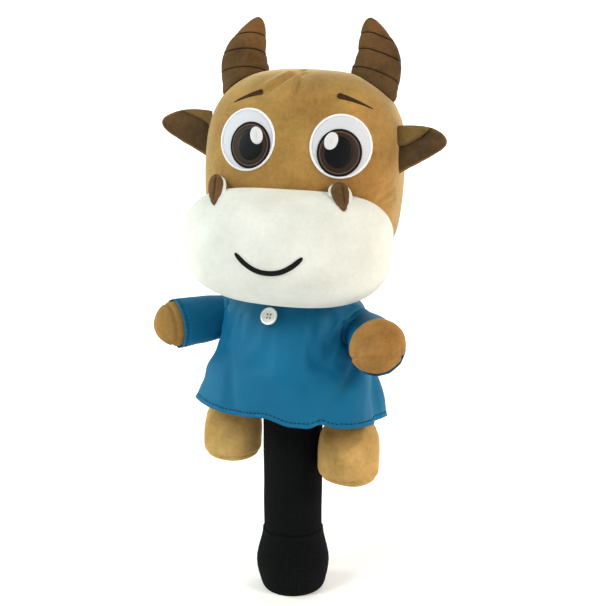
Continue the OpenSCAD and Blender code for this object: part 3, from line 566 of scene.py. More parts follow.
white_thread = thread_finish("white_thread", "e8e9ee")
lilac_thread = thread_finish("white_fill_thread", "c9ccd6", 0.5, angle=0.7)
glint_thread = thread_finish("glint_thread", "d6d7dc", 0.5, 3200.0, 0.16, 0.5)
black_thread = thread_finish("black_thread", "060606", 0.6)
ring_thread = thread_finish("light_brown_thread", "57473a", 0.45)
iris_thread = thread_finish("dark_brown_thread", "2e231a", 0.45, angle=1.1)
pupil_thread = thread_finish("navy_thread", "080b10", 0.42, angle=0.5)

eye_across, eye_up, eye_half = 34.5 * MM, head_level + 22 * MM, (21.0 * MM, 22.1 * MM)
eye_steps = 96


def lifted(form, x, z, lift):
    """A place on the front of a form, and this far off it."""
    place, normal, _, _ = seen(form, x, z)
    return place + normal * lift


def laid_on_face(bm, x, z, w, h, low, tilt=0.0):
    """Lays a flat round form on the face: its radius 1 becomes w and h, its height a lift."""
    for v in bm.verts:
        across, up = v.co.x * w, v.co.y * h
        v.co = lifted(head_form, x + across * math.cos(tilt) - up * math.sin(tilt),
                      z + across * math.sin(tilt) + up * math.cos(tilt), low + v.co.z)


def disc(inner, outer, thick, crown=0.35, rings=10, ridges=0, ridge=0.0):
    """A thin round patch or ring of thread, with its stitches as ridges round it."""
    shares = [k / rings for k in range(rings + 1)]
    if inner:
        top = [(inner + (outer - inner) * s, thick * (1 - crown * (2 * s - 1) ** 4)) for s in shares]
    else:
        top = [(outer * s, thick * (1 - crown * s ** 8)) for s in shares]
    under = [(outer, -thick), (inner, -thick)]
    bm = spun(top + under, max(eye_steps, ridges * 4), closed=inner > 0)
    if ridges:
        for v in bm.verts:
            if v.co.z > -0.9 * thick:
                a = math.atan2(v.co.y, v.co.x)
                v.co.z += ridge * (0.5 + 0.5 * math.cos(ridges * a))
    return bm


for side, name in ((1, "left"), (-1, "right")):
    w, h = eye_half
    x = side * eye_across + (1.2 - 1.2 * side) * MM
    eye_z = eye_up - (0.1 + 1.1 * side) * MM
    ring_w, ring_h = w * 0.72, w * 0.77
    iris_x, iris_z = x - (side * 1.7 - 1.1) * MM, eye_z - (4.2 + 0.3 * side) * MM
    glint_x, glint_z = iris_x - (side * 5.3 + 0.5) * MM, iris_z + (7.1 + 0.5 * side) * MM
    oval, ring = (x, eye_z, w, h), (iris_x, iris_z, ring_w, ring_h)
    pupil = (iris_x - side * 0.4 * MM, iris_z + 0.4 * MM, ring_w * 0.61, ring_h * 0.66)
    glint = (glint_x, glint_z, 4.5 * MM, 6.1 * MM)
    layers = [
        ("eye_white", disc(0, 0.96, 0.45 * MM), oval, 0.0, 0.0, lilac_thread, "white_thread", "eye_white"),
        ("eye_border", disc(0.925, 1.0, 0.95 * MM, 0.6, 6, 170, 0.16 * MM), oval, 0.0, 0.0,
         white_thread, "white_thread", None),
        ("eye_ring", disc(0.9, 1.0, 0.45 * MM, 0.5, 5, 130, 0.1 * MM), ring, 0.6 * MM, 0.0,
         black_thread, "black_thread", None),
        ("eye_inner_ring", disc(0.84, 0.905, 0.4 * MM, 0.4, 5, 120, 0.08 * MM), ring, 0.55 * MM, 0.0,
         ring_thread, "brown_thread", None),
        ("eye_iris", disc(0, 0.85, 0.35 * MM), ring, 0.5 * MM, 0.0, iris_thread, "brown_thread", "iris"),
        ("eye_pupil", disc(0, 1.0, 0.35 * MM), pupil, 0.85 * MM, 0.0, pupil_thread, "black_thread", "pupil"),
        ("eye_highlight", disc(0, 1.0, 0.4 * MM, 0.5, 8, 60, 0.05 * MM), glint, 1.25 * MM, -0.3 * side,
         glint_thread, "white_thread", "highlight"),
    ]
    for label, bm, (centre_x, centre_z, wide, tall), low, tilt, finish, slot, stands_for in layers:
        laid_on_face(bm, centre_x, centre_z, wide, tall, low, tilt)
        bmesh.ops.recalc_face_normals(bm, faces=bm.faces)
        made = piece(f"{label}_{name}", bm, finish, "toy")
        if stands_for:
            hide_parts(f"{stands_for}_{name}")

# ---- Brows and smile -----------------------------------------------------------------
# Satin stitch again: dark brown tapered brows over the eyes, and a thick black curve for
# the smile, its threads laid across the line.

stitch_ridge = 0.12 * MM


def satin_band(form, centre, half, thick, count, steps):
    """A raised band of satin stitch on a form, along centre(t) and as wide as half(t) says."""
    bm = bmesh.new()
    bmesh.ops.create_grid(bm, x_segments=steps, y_segments=8, size=0.5)
    for v in bm.verts:
        t, q = v.co.x + 0.5, v.co.y * 2
        a, b = centre(max(0, t - 0.01)), centre(min(1, t + 0.01))
        along = (b - a).normalized()
        side = Vector((-along.y, along.x))
        spot = centre(t) + side * q * half(t)
        thread = stitch_ridge * (0.5 + 0.5 * math.cos(2 * math.pi * count * t))
        lift = thick * math.sqrt(max(0, 1 - q * q * 0.97)) + thread
        v.co = lifted(form, spot.x, spot.y, lift * min(1, half(t) / (0.6 * MM)))
    bmesh.ops.recalc_face_normals(bm, faces=bm.faces)
    return bm


brow_thread = thread_finish("brow_thread", "35200f", 0.5)
for side, name in ((1, "left"), (-1, "right")):
    bm = satin_band(
        head_form,
        lambda t: Vector((side * (eye_across - 8 * MM + (23 + side) * MM * t) + 2.7 * MM,
                          eye_up + (34.3 - 0.6 * side - 7.5 * t + 0.7 * math.sin(math.pi * t)) * MM)),
        lambda t: (2.2 - 1.9 * t) * min(1, 0.55 + 9 * t) * MM,
        0.7 * MM, 56, 224)
    brow = piece(f"brow_thread_{name}", bm, brow_thread, "toy")
    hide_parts(f"brow_{name}")

smile_half, smile_rise, smile_level = 23 * MM, 12 * MM, neck_level + 16.5 * MM
bm = satin_band(
    muzzle_form,
    lambda t: Vector((smile_half * (2 * t - 1) - 2 * MM, smile_level + smile_rise * abs(2 * t - 1) ** 2.2)),
    lambda t: 1.75 * MM * math.sqrt(max(0.03, 1 - abs(2 * t - 1) ** 14)),
    1.1 * MM, 90, 360)
smile = piece("smile_thread", bm, black_thread, "toy")
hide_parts("smile_stitch")

# ---- Nostrils ------------------------------------------------------------------------
# Two brown plush petals, each folded down its middle and caught in the seam between the
# face and the muzzle, with the point lying on the muzzle and a cream backing at one edge.

brown_plush = fabric_finish("brown_plush", "3f2d1b", "775736", 1500.0, 0.2)


def on_front(spot):
    """The front of the face or of the muzzle, whichever stands further out."""
    hits = [seen(form, spot.x, spot.y) for form in (head_form, muzzle_form)]
    return min((h for h in hits if h[0]), key=lambda h: h[3])[0]


def petal(tip, top, half, puff, crease, base):
    """A puffed petal that lies across the seam, from its point up to its round end."""
    bm = bmesh.new()
    bmesh.ops.create_icosphere(bm, subdivisions=5, radius=1)
    low, high = on_front(tip), on_front(top)
    centre, aside = tip.lerp(top, 0.75), Vector((5 * MM, 0))
    across_way = (on_front(centre + aside) - on_front(centre - aside)).normalized()
    out = (high - low).cross(across_way).normalized() * -1
    for v in bm.verts:
        up, ring = (1 + v.co.z) / 2, math.sqrt(max(1e-9, 1 - v.co.z ** 2))
        across, front = v.co.x / ring, -v.co.y / ring
        width = max(0, up) ** 0.8 * max(0, 1 - up) ** 0.45 / 0.442
        lift = puff * width ** 0.7 * (front if front > 0 else 0.8 * front)
        if front > 0:
            lift -= crease * width * math.exp(-((across - 0.1) / 0.14) ** 2) * min(1, 6 * up * (1 - up))
        v.co = low.lerp(high, up) + across_way * across * width * half + out * (lift + base + 2 * MM * up)
    bmesh.ops.recalc_face_normals(bm, faces=bm.faces)
    return bm


petal_half = 7.6 * MM
for name, x, lean_in, below, above, rim in (("left", 44.2, -10.0, -23.6, -6.8, 0.7),
                                            ("right", -44.6, -9.6, -24.6, -5.2, 1.7)):
    tip = Vector((x, head_level / MM + below)) * MM
    top = Vector((x + lean_in, head_level / MM + above)) * MM
    backing = petal(tip + Vector((rim * 0.5, 0.6)) * MM, top + Vector((rim * 0.5, 0.3)) * MM,
                    petal_half + rim * 0.6 * MM, 1.6 * MM, 0, 0)
    piece(f"nostril_backing_{name}", backing, cream_plush, "toy")
    front = petal(tip, top, petal_half, 3.2 * MM, 1.5 * MM, 0.9 * MM)
    lumps(front, 0.25 * MM, 4 * MM, 5.0)
    made = piece(f"nostril_plush_{name}", front, brown_plush, "toy")
    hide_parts(f"nostril_{name}")

# ---- Horns ---------------------------------------------------------------------------
# Cones of dark brown plush, stuffed, with three lines of stitching pulled tight round
# each one. Their colour is painted lighter, golden brown, towards the tip as painted light,
# and stays dark at the foot beside the head as painted shade.

horn_root, horn_height = head_level + 66 * MM, 53 * MM
horn_across, horn_ray = 49 * MM, 60 * MM
horn_rings = ((0.16, 18.6), (0.44, 14.6), (0.69, 10.4))
ring_tilt, ring_places = 0.2, 120


def horn_finish():
    """Brown plush that runs from dark at the foot to golden brown at the tip: painted shade low and painted
    light high.
    """
    m = fabric_finish("horn_plush", "382817", "664c2c", 1500.0, 0.2)
    tree = m.node_tree
    shader = tree.nodes["Principled BSDF"]
    plain = shader.inputs["Base Color"].links[0].from_socket
    place = node(tree, "ShaderNodeTexCoord")
    split = node(tree, "ShaderNodeSeparateXYZ")
    tree.links.new(place.outputs["Object"], split.inputs[0])
    climb = node(tree, "ShaderNodeMapRange")
    climb.inputs["From Min"].default_value = horn_root + 0.2 * horn_height
    climb.inputs["From Max"].default_value = horn_root + horn_height
    tree.links.new(split.outputs["Z"], climb.inputs["Value"])
    # Painted light: the colour is multiplied lighter up the horn's height, towards the tip.
    painted_tip_light = multiplied(tree, plain, (1.7, 1.5, 1.4, 1), climb.outputs[0])
    tree.links.new(painted_tip_light, shader.inputs["Base Color"])
    return m


def eased(t):
    """A share that starts and stops softly, held to 0 and 1."""
    t = min(1, max(0, t))
    return t * t * (3 - 2 * t)


def thread_ring(path, radius):
    """A closed thread: a ring is spun and then laid along these places."""
    count, wire = len(path), 0.1
    corners = [math.pi * k / 3 for k in range(6)]
    bm = spun([(1 + wire * math.cos(a), wire * math.sin(a)) for a in corners], count)
    centre = sum(path, Vector()) / count
    for v in bm.verts:
        i = round(math.atan2(v.co.y, v.co.x) / (2 * math.pi) * count) % count
        along = (path[(i + 1) % count] - path[i - 1]).normalized()
        out = (path[i] - centre).normalized()
        up = along.cross(out).normalized()
        v.co = path[i] + (out * (math.hypot(v.co.x, v.co.y) - 1) + up * v.co.z) * radius / wire
    bmesh.ops.recalc_face_normals(bm, faces=bm.faces)
    return bm


horn_plush = horn_finish()
horn_thread = thread_finish("horn_thread", "22180e", 0.7)
for side, name in ((1, "left"), (-1, "right")):
    nodes = [f"horn_skin_{name}", f"horn_stuffing_{name}"]
    bm = stuffed(to_row @ Vector((side * horn_across, -2 * MM, horn_root + 12 * MM)), 7, nodes, 3)
    for v in bm.verts:
        near, normal, _, far = head_form.find_nearest(v.co)
        if far < 4 * MM and (v.co - near).dot(normal) > 0:
            v.co -= normal * 3.5 * MM * (1 - far / (4 * MM))
    bm.normal_update()
    outer_way = (to_row.to_3x3() @ Vector((side, 0, 0))).normalized()
    for v in bm.verts:
        climb = ((to_head @ v.co).z - horn_root) / horn_height
        bulge = math.sin(math.pi * min(1, max(0, climb))) * max(0, v.normal.dot(outer_way))
        v.co += (v.normal * 1.6 * eased((climb - 0.2) / 0.6) + outer_way * (3.0 - 0.4 * side) * bulge
                 - Vector((0, 0, 2.4 * eased((climb - 0.5) / 0.5)))) * MM
    form = BVHTree.FromBMesh(bm)
    ring_drop = 0.165 + 0.105 * side
    for number, (share, radius) in enumerate(horn_rings):
        ring = []
        for k in range(ring_places):
            a = 2 * math.pi * k / ring_places
            height = (horn_root + share * horn_height
                      - (ring_tilt * math.sin(a) + ring_drop * side * math.cos(a)) * radius * MM)
            start = to_row @ Vector((side * horn_across + horn_ray * math.cos(a),
                                     horn_ray * math.sin(a), height))
            end = to_row @ Vector((side * (horn_across - 1 * MM), -2 * MM, height))
            ring.append(form.ray_cast(start, (end - start).normalized())[0])
        ring = found(ring)
        sewn(bm, ring + ring[:1], 1.0 * MM, 0.75 * MM, 0.1)
        centre = sum(ring, Vector()) / len(ring)
        pulled = [centre.lerp(p, 1 - 0.55 * MM / (p - centre).length) for p in ring]
        piece(f"horn_stitching_{name}_{number}", thread_ring(pulled, 0.32 * MM), horn_thread, "toy")
    horn = piece(f"horn_plush_{name}", bm, horn_plush, "toy")
    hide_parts(*nodes)

# ---- Ears ----------------------------------------------------------------------------
# Each ear is a puffed leaf of plush with a darker lining on its front. Its upper edge is
# folded forward and pinched at the root, and the open end is sewn into the head's side.

ear_plush = fabric_finish("ear_plush", "5a4325", "8c6c3f", 1500.0, 0.3, second=(0.9, 1.04, 0.98, 1))
dark_plush = fabric_finish("dark_plush", "35271a", "654e33", 1500.0, 0.15)
ear_root, ear_reach, ear_half = -7.0 * MM, 30.0 * MM, 16.0 * MM


def ear_leaf(grow, thick, forward, fold_low, fold_bend, flap):
    """A closed leaf, x out from the head, z up, with the fold across its front."""
    bm = bmesh.new()
    bmesh.ops.create_icosphere(bm, subdivisions=6, radius=1)
    for v in bm.verts:
        ring = math.sqrt(max(1e-9, 1 - v.co.x ** 2))
        up, front = v.co.z / ring, -v.co.y / ring
        x = ear_root + (ear_reach + grow - ear_root) * (1 + v.co.x) / 2
        s = min(1, x / (ear_reach + grow))
        half = (ear_half + grow) * math.sqrt(max(0, 1 - s))
        z = 4.5 * MM * (1 - (1 - s) ** 2) + half * up
        depth = thick * min(1.1, (1 - s) ** 0.5) * front
        line = (fold_low + (14.8 - fold_low) * max(0, (x / MM + 5) / 23) ** fold_bend) * MM
        over = z - line
        ends = 1 - eased((x - 14 * MM) / (7 * MM))
        if front > 0:
            side = min(1, front * 2)
            depth += forward * side
            if over > 0:
                depth += flap * (1 - math.exp(-over / (0.9 * MM))) * ends * side
            else:
                depth -= 1.6 * MM * math.exp(over / (3.5 * MM)) * (0.35 + 0.65 * ends) * side
            hollow = Vector(((x - 13 * MM) / (5 * MM), (z - 9.5 * MM) / (4 * MM)))
            depth -= 2.0 * MM * math.exp(-hollow.length_squared) * side
        v.co = Vector((x, -depth, z))
    bmesh.ops.recalc_face_normals(bm, faces=bm.faces)
    lumps(bm, 0.5 * MM, 9 * MM, 3.0 + fold_low)
    return bm


ear_back_turn = Matrix.Rotation(math.radians(-18), 4, "Z")
for side, name, lift, fold_low, fold_bend in ((1, "left", -3.0, 0.9, 1.75), (-1, "right", 3.3, 4.1, 0.65)):
    ear_place = (to_row @ Matrix.Diagonal((side, 1, 1, 1))
                 @ Matrix.Translation(Vector((76.84, -18, head_level / MM + 27 + lift)) * MM) @ ear_back_turn)
    flap = ear_leaf(0, 3.0 * MM, 0, fold_low, fold_bend, 2.6 * MM)
    lining = ear_leaf(-0.8 * MM, 2.4 * MM, 0.95 * MM, fold_low, fold_bend, -1.5 * MM)
    for bm in (flap, lining):
        bmesh.ops.transform(bm, matrix=ear_place, verts=bm.verts)
        bmesh.ops.recalc_face_normals(bm, faces=bm.faces)
    outer = piece(f"ear_plush_{name}", flap, ear_plush, f"ear_{name}")
    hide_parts(f"ear_outer_{name}")
    inner = piece(f"ear_lining_{name}", lining, dark_plush, f"ear_{name}")
    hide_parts(f"ear_inner_{name}")

# ---- Arms ----------------------------------------------------------------------------
# Short stuffed arms of golden plush, each with a rounded hoof sewn on at its end. The arm
# is closed at its root and sewn to the body inside the shirt's armhole.

gold_plush = fabric_finish("golden_plush", "765329", "a87d45", 1500.0, 0.4, second=(0.92, 1.02, 1.0, 1))


def joint_place(name):
    """Where this joint turns."""
    return Vector(next(joint["pos_m"] for joint in frame["joints"] if joint["name"] == name))


def seam_round(form, centre, ways):
    """The places where rays from outside, towards a centre, meet a form."""
    return found([form.ray_cast(centre + way * 60 * MM, -way)[0] for way in ways])


turns = [2 * math.pi * k / 160 for k in range(160)]
for name, swell, shift, seams in (("left", 4.2 * MM, (-3.4, 0, 5.6), ((0.25, 4 * MM), (1.2, 7 * MM))),
                                  ("right", 0.6 * MM, (0, 0, 0), ((0.0, 0.0),))):
    nodes = [f"arm_skin_{name}", f"arm_hoof_{name}", f"arm_stuffing_{name}"]
    bm = stuffed(middle(*nodes), 6, nodes)
    hoof = middle(f"arm_hoof_{name}")
    outward = (hoof - joint_place(f"arm_{name}")).normalized()
    for v in bm.verts:
        share = eased(((v.co - hoof).dot(outward) + 12 * MM) / (15 * MM))
        v.co += ((v.co - hoof).normalized() * swell + Vector(shift) * MM) * share
    lumps(bm, 0.7 * MM, 14 * MM, 2.0)
    form = BVHTree.FromBMesh(bm)
    across = outward.cross(Vector((0, 0, 1))).normalized()
    above = across.cross(outward)
    for tilt, offset in seams:
        rising = above * math.cos(tilt) + outward * math.sin(tilt)
        ring = seam_round(form, hoof + outward * offset,
                          [across * math.cos(a) + rising * math.sin(a) for a in turns])
        sewn(bm, ring + ring[:1], 1.5 * MM, 1.2 * MM, 0.2)
    arm = piece(f"arm_plush_{name}", bm, gold_plush, f"arm_{name}")
    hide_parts(*nodes)

# ---- Legs ----------------------------------------------------------------------------
# Stuffed tubes of a paler plush with a round sole sewn in at the foot. Each is closed at
# its top and sewn to the body under the shirt's hem.

pale_plush = fabric_finish("pale_plush", "94703e", "cfa869", 1500.0, 0.7, second=(0.94, 1.02, 1.0, 1))
for name in ("left", "right"):
    nodes = [f"leg_skin_{name}", f"leg_sole_{name}", f"leg_stuffing_{name}"]
    bm = stuffed(middle(*nodes), 6, nodes)
    lumps(bm, 0.8 * MM, 18 * MM, 6.0)
    bm.normal_update()
    foot, foot_level = middle(nodes[1]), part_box(nodes[1])[0].z
    for v in bm.verts:
        v.co += v.normal * 0.8 * MM * eased((v.co.z - foot_level) / (12 * MM))
    ring = seam_round(BVHTree.FromBMesh(bm), Vector((foot.x, foot.y, foot_level + 7 * MM)),
                      [Vector((math.cos(a), math.sin(a), 0)) for a in turns])
    sewn(bm, ring + ring[:1], 1.3 * MM, 1.0 * MM, 0.3)
    leg = piece(f"leg_plush_{name}", bm, pale_plush, f"leg_{name}")
    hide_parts(*nodes)

# ---- Shirt ---------------------------------------------------------------------------
# A little shirt of smooth blue knit: a front and a back sewn at the sides and shoulders,
# set-in sleeves, turned and stitched hems. It hangs loose over the belly.

blue_cloth = fabric_finish("blue_cloth", "03567e", "046991", 2600.0, 0.0,
                           roughness=0.62, depth=0.1, mottle=18.0)
shirt_thick = 0.9 * MM
chest = to_row @ (Vector((0, -2, 205)) * MM)


def outside(names, inner_point, least):
    """The outer walls of these CAD panels, their faces that look away from a point."""
    bm = merged(*names)
    unsplit(bm)
    inward = []
    for f in bm.faces:
        spot = f.calc_center_median()
        if f.normal.dot((spot - inner_point(spot)).normalized()) < least:
            inward.append(f)
    bmesh.ops.delete(bm, geom=inward, context="FACES")
    return bm


coarse = outside(["shirt_front", "shirt_back"], lambda p: chest, 0.4)
bmesh.ops.remove_doubles(coarse, verts=coarse.verts, dist=1.6 * MM)
for f in coarse.faces:
    f.material_index = 0
for number, name in ((1, "left"), (2, "right")):
    arm_form = BVHTree.FromBMesh(merged(f"arm_stuffing_{name}"))
    sleeve = outside([f"sleeve_{name}"], lambda p: arm_form.find_nearest(p)[0], 0.5)
    for f in sleeve.faces:
        f.material_index = number
    part = bpy.data.meshes.new("sleeve_part")
    sleeve.to_mesh(part)
    sleeve.free()
    coarse.from_mesh(part)
    bpy.data.meshes.remove(part)


def open_loops(bm):
    """The loops of open edges, in the mesh's own order: for each its middle and its edges."""
    left, loops = dict.fromkeys(e for e in bm.edges if e.is_boundary), []
    while left:
        loop, fresh = [], [left.popitem()[0]]
        while fresh:
            edge = fresh.pop()
            loop.append(edge)
            near = [e for v in edge.verts for e in v.link_edges if e in left]
            for e in near:
                left.pop(e, None)
            fresh += near
        spots = [v.co for e in loop for v in e.verts]
        loops.append((sum(spots, Vector()) / len(spots), loop))
    return loops


armholes, least_edges = {}, 12
for _, loop in open_loops(coarse):
    if len(loop) < least_edges:
        longest = sorted(loop, key=lambda e: -e.calc_length())[:least_edges - len(loop)]
        bmesh.ops.subdivide_edges(coarse, edges=longest, cuts=1)
for mid, loop in open_loops(coarse):
    number = loop[0].link_faces[0].material_index
    side = 1 if mid.x > 0.02 else 2 if mid.x < -0.02 else 0
    if side and (number == 0 or abs(mid.x - chest.x) < 70 * MM):
        armholes.setdefault(side, []).extend(loop)
for number, edges in armholes.items():
    made = bmesh.ops.bridge_loops(coarse, edges=edges)
    for f in made["faces"]:
        f.material_index = number
bmesh.ops.recalc_face_normals(coarse, faces=coarse.faces)


def settled(bm, name, **ways):
    """This mesh with modifiers applied: each is a type and its settings."""
    obj = bpy.data.objects.new(name, bpy.data.meshes.new(name))
    bpy.context.collection.objects.link(obj)
    bm.to_mesh(obj.data)
    bm.free()
    for _ in range(3):
        obj.data.materials.append(blue_cloth)
    for kind, values in ways.items():
        change = obj.modifiers.new(kind, kind)
        for key, value in values.items():
            setattr(change, key, value)
    result = bmesh.new()
    result.from_mesh(obj.evaluated_get(bpy.context.evaluated_depsgraph_get()).to_mesh())
    mesh = obj.data
    bpy.data.objects.remove(obj)
    bpy.data.meshes.remove(mesh)
    return result


hang = settled(coarse, "shirt_cut", SUBSURF={"levels": 2, "render_levels": 2})
relaxed(hang, [v for v in hang.verts if not v.is_boundary], 0.5, 4)

# Soft folds, each from an angle at its top to an angle at the hem, with its width in degrees,
# its height, where down the shirt it starts, and how far it lets the hem drop
upright = (Matrix.Translation((0, 0, lean_height)) @ Matrix.Rotation(lean, 4, "Y")
           @ Matrix.Translation((0, 0, -lean_height)))
from_row = upright.inverted()
hem_level, yoke_level = 147 * MM, 226 * MM
folds = (
    (-46, -24, 6, -3.2, 0.25, 0.3), (-60, -62, 12, 1.8, 0.35, -2.6), (4, 5, 11, -0.6, 0.6, -1.2),
    (24, 25, 14, 0.8, 0.5, 2.2), (86, 44, 5, -4.8, 0.35, -2.0), (90, 62, 7, 3.4, 0.4, -1.2),
    (93, 86, 5, -3.8, 0.45, 0.6), (96, 104, 7, 2.6, 0.45, 1.0), (99, 120, 5, -3.0, 0.5, 1.0),
    (128, 136, 13, 1.8, 0.4, -1.0), (152, 160, 9, -2.4, 0.5, 1.0), (-178, -172, 13, 1.8, 0.4, -1.2),
    (-148, -140, 9, -2.4, 0.45, 1.0), (-112, -104, 12, 1.8, 0.4, -0.8),
)


def apart(a, b):
    """How far angle a is past angle b, from -180 to 180 degrees."""
    return (a - b + 180) % 360 - 180


for v in hang.verts:
    if any(f.material_index for f in v.link_faces):
        continue
    p = from_row @ v.co
    turn_angle = math.degrees(math.atan2(p.x, -p.y))
    down = (yoke_level - p.z) / (yoke_level - hem_level)
    push, drop = 0.0, 0.0
    for top, foot, width, height, start, fall in folds:
        near = math.exp(-(apart(turn_angle, top + (foot - top) * down) / width) ** 2)
        push += height * eased((down - start) / 0.3) * near
        drop += fall * eased((down - start) / (1 - start)) ** 2 * near
    belly = 2.0 * math.exp(-(apart(turn_angle, 5) / 50) ** 2 - ((down - 0.55) / 0.3) ** 2)
    waist = 4.6 * math.exp(-(apart(abs(turn_angle), 85) / 34) ** 2 - ((down - 0.5) / 0.24) ** 2)
    hem_in = -3.0 * eased((down - 0.75) / 0.25) * math.exp(-(apart(turn_angle, 110) / 30) ** 2)
    out = Vector((p.x, p.y, 0)).normalized()
    v.co = upright @ (p + out * (push + belly + waist + hem_in) * MM - Vector((0, 0, drop * MM)))

# The sleeves' cuffs close in on the arms
arm_ways = {}
for number, name, longer in ((1, "left", 0.5 * MM), (2, "right", 4.5 * MM)):
    arm_tree = BVHTree.FromBMesh(merged(f"arm_skin_{name}", f"arm_hoof_{name}"))
    root = joint_place(f"arm_{name}")
    arm_way = (middle(f"arm_hoof_{name}") - root).normalized()
    arm_ways[number] = arm_way
    members = [v for v in hang.verts if all(f.material_index == number for f in v.link_faces)]
    rim = max((v.co - root).dot(arm_way) for v in members if v.is_boundary)
    for v in members:
        share = eased(1 - (rim - (v.co - root).dot(arm_way)) / (20 * MM))
        v.co += arm_way * longer * share
        near, normal, _, far = arm_tree.find_nearest(v.co)
        snug = near + (v.co - near).normalized() * (1.6 * MM)
        v.co = v.co.lerp(snug, eased(share * 1.4 - 0.4) * 0.9)

# The hung cloth settles on the body and the limbs, held at the neck and the cuffs
drape_frames = 24
cloth = bpy.data.objects.new("shirt_hang", bpy.data.meshes.new("shirt_hang"))
bpy.context.collection.objects.link(cloth)
held = []
for mid, loop in open_loops(hang):
    number = loop[0].link_faces[0].material_index
    if number or mid.z > 0.2:
        held += [v.index for e in loop for v in e.verts]
hang.to_mesh(cloth.data)
hang.free()
for _ in range(3):
    cloth.data.materials.append(blue_cloth)
pins = cloth.vertex_groups.new(name="held")
pins.add(sorted(set(held)), 1.0, "REPLACE")
for v in cloth.data.vertices:
    down = min(1, max(0, (yoke_level - v.co.z) / (yoke_level - hem_level)))
    if v.index not in held:
        pins.add([v.index], 0.08 + 0.14 * down ** 2, "REPLACE")
solids = [bpy.data.objects[n] for n in ("body_plush", "arm_plush_left", "arm_plush_right",
                                        "leg_plush_left", "leg_plush_right")]
for solid in solids:
    solid.modifiers.new("under_cloth", "COLLISION")
    solid.collision.thickness_outer = 0.6 * MM
    solid.collision.cloth_friction = 12
drape = cloth.modifiers.new("drape", "CLOTH")
ways = drape.settings
ways.quality, ways.mass, ways.air_damping = 8, 0.05, 2.0
ways.tension_stiffness = ways.compression_stiffness = 8
ways.shear_stiffness, ways.bending_stiffness = 3, 0.05
ways.vertex_group_mass, ways.pin_stiffness = "held", 1.0
ways.shrink_min = -0.02
drape.collision_settings.distance_min = 0.6 * MM
drape.collision_settings.collision_quality = 3
drape.point_cache.frame_start, drape.point_cache.frame_end = 1, drape_frames
for step in range(1, drape_frames + 1):
    bpy.context.scene.frame_set(step)
fallen = bmesh.new()
fallen.from_mesh(cloth.evaluated_get(bpy.context.evaluated_depsgraph_get()).to_mesh())
bpy.data.objects.remove(cloth)
for solid in solids:
    solid.modifiers.remove(solid.modifiers["under_cloth"])
bpy.context.scene.frame_set(1)
relaxed(fallen, [v for v in fallen.verts if not v.is_boundary], 0.5, 2)
fallen = settled(fallen, "shirt_fallen", SUBSURF={"levels": 1, "render_levels": 1})

# Seams at the armholes and down the sides, and the turned hems with their row of stitches
armhole_path = [v.co.copy() for v in fallen.verts
                if len({f.material_index for f in v.link_faces}) > 1]
sewn(fallen, armhole_path, 0.9 * MM, 1.4 * MM, 0)
shirt_form = BVHTree.FromBMesh(fallen)
for angle in (92, -92):
    way = upright.to_3x3() @ Vector((math.sin(math.radians(angle)), -math.cos(math.radians(angle)), 0))
    spots = [upright @ Vector((0, 0, hem_level - 4 * MM + k * 1.1 * MM)) for k in range(60)]
    line = found([shirt_form.ray_cast(spot + way * 0.12, -way, 0.1)[0] for spot in spots])
    sewn(fallen, line, 0.8 * MM, 1.3 * MM, 0.15)


def hem_row(loop, centre, axis, inset):
    """Places a little way in from an open edge, in order round it."""
    side = axis.orthogonal().normalized()
    other = axis.cross(side)

    def angle_round(v):
        return math.atan2((v.co - centre).dot(side), (v.co - centre).dot(other))

    inner = []
    for v in sorted({v for e in loop for v in e.verts}, key=angle_round):
        steps = [e.other_vert(v).co - v.co for e in v.link_edges if not e.is_boundary]
        step = sum(steps, Vector()) / len(steps)
        inner.append(v.co + step.normalized() * inset)
    return inner


stitch_rows = []
for mid, loop in open_loops(fallen):
    number = loop[0].link_faces[0].material_index
    if number == 0 and mid.z > 0.2:
        continue
    axis = Vector((0, 0, 1)) if number == 0 else arm_ways[number]
    row = hem_row(loop, mid, axis, 3.4 * MM if number == 0 else 2.8 * MM)
    stitch_rows.append((number, row))
stitch_rows.sort(key=lambda numbered: numbered[0])
for number, row in stitch_rows:
    sewn(fallen, row + row[:1], 0.6 * MM, 1.2 * MM, 0.5, 5.2 * MM)
shirt_form = BVHTree.FromBMesh(fallen)


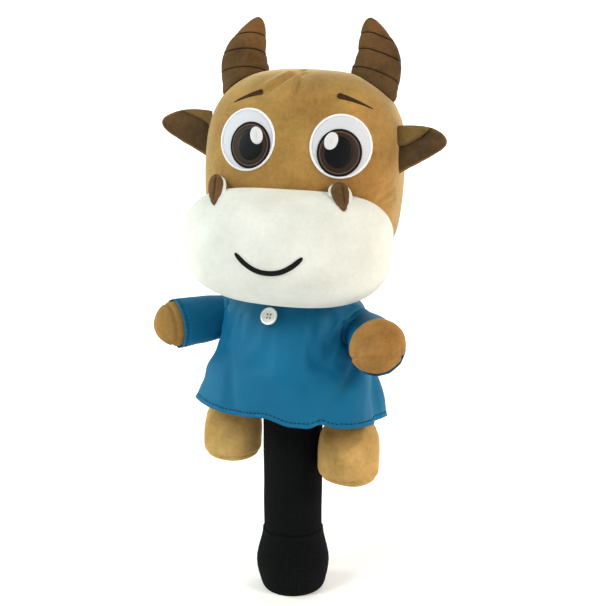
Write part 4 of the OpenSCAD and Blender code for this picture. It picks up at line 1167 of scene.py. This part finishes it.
def stitches(row, form, length, pitch, radius):
    """A row of short stitches lying in the cloth along a closed line of places."""
    bm = bmesh.new()
    loop = row + row[:1]
    far, want = 0.0, pitch / 2
    for a, b in zip(loop, loop[1:]):
        span = (b - a).length
        while span > 0 and want < far + span:
            spot, normal, _, _ = form.find_nearest(a.lerp(b, (want - far) / span))
            along = (b - a).normalized()
            across = normal.cross(along).normalized()
            place = Matrix((along, across, along.cross(across))).transposed().to_4x4()
            place.translation = spot + normal * radius * 0.3
            bmesh.ops.create_uvsphere(bm, u_segments=6, v_segments=4, radius=1, matrix=place
                                      @ Matrix.Diagonal((length / 2, radius, radius, 1)))
            want += pitch
        far += span
    bmesh.ops.recalc_face_normals(bm, faces=bm.faces)
    return bm


blue_thread = thread_finish("blue_thread", "01233a", 0.6)
stitch_labels = ("shirt_hem_stitches", "cuff_stitches_left", "cuff_stitches_right")
for number, name, body_name in ((0, "shirt_body", "toy"), (1, "sleeve_cloth_left", "arm_left"),
                                (2, "sleeve_cloth_right", "arm_right")):
    part = fallen.copy()
    bmesh.ops.delete(part, geom=[f for f in part.faces if f.material_index != number], context="FACES")
    for f in part.faces:
        f.material_index = 0
    part = settled(part, name + "_walls", SOLIDIFY={"thickness": shirt_thick, "offset": -1})
    made = piece(name, part, blue_cloth, body_name if number == 0 else None)
    if number:
        seam = [p for p in armhole_path if (p.x > 0) == (number == 1)]
        start = sum(seam, Vector()) / len(seam)
        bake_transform(made)
        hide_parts(f"sleeve_{body_name[4:]}")
    else:
        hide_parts("shirt_front", "shirt_back")
for number, row in stitch_rows:
    piece(stitch_labels[number], stitches(row, shirt_form, 2.1 * MM, 3.3 * MM, 0.42 * MM), blue_thread,
          ("toy", "arm_left", "arm_right")[number])
fallen.free()
band = piece("shirt_neckband_cloth", rounded(merged("shirt_neckband")), blue_cloth, "toy")
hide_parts("shirt_neckband")

# ---- Button --------------------------------------------------------------------------
# A white moulded button with a raised rim and four holes, sewn to the shirt's front with
# loops of black thread sunk into the holes. The thread's black is painted shade that darkens the holes.

button_gloss, _, button_shader = material("button_gloss", 0.22, Coat_Weight=0.4)
button_shader.inputs["Base Color"].default_value = srgb("e9ebe8")
button = frame["nodes"]["button"]
button.data.materials.clear()
button.data.materials.append(button_gloss)
loops = merged("button_thread")
facing = (middle("button") - chest).normalized()
bmesh.ops.translate(loops, verts=loops.verts, vec=-facing * 0.9 * MM)
# The loops are black as painted shade for the dark inside the button's holes.
button_loops = piece("button_thread_loops", loops, black_thread, "toy")
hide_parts("button_thread")
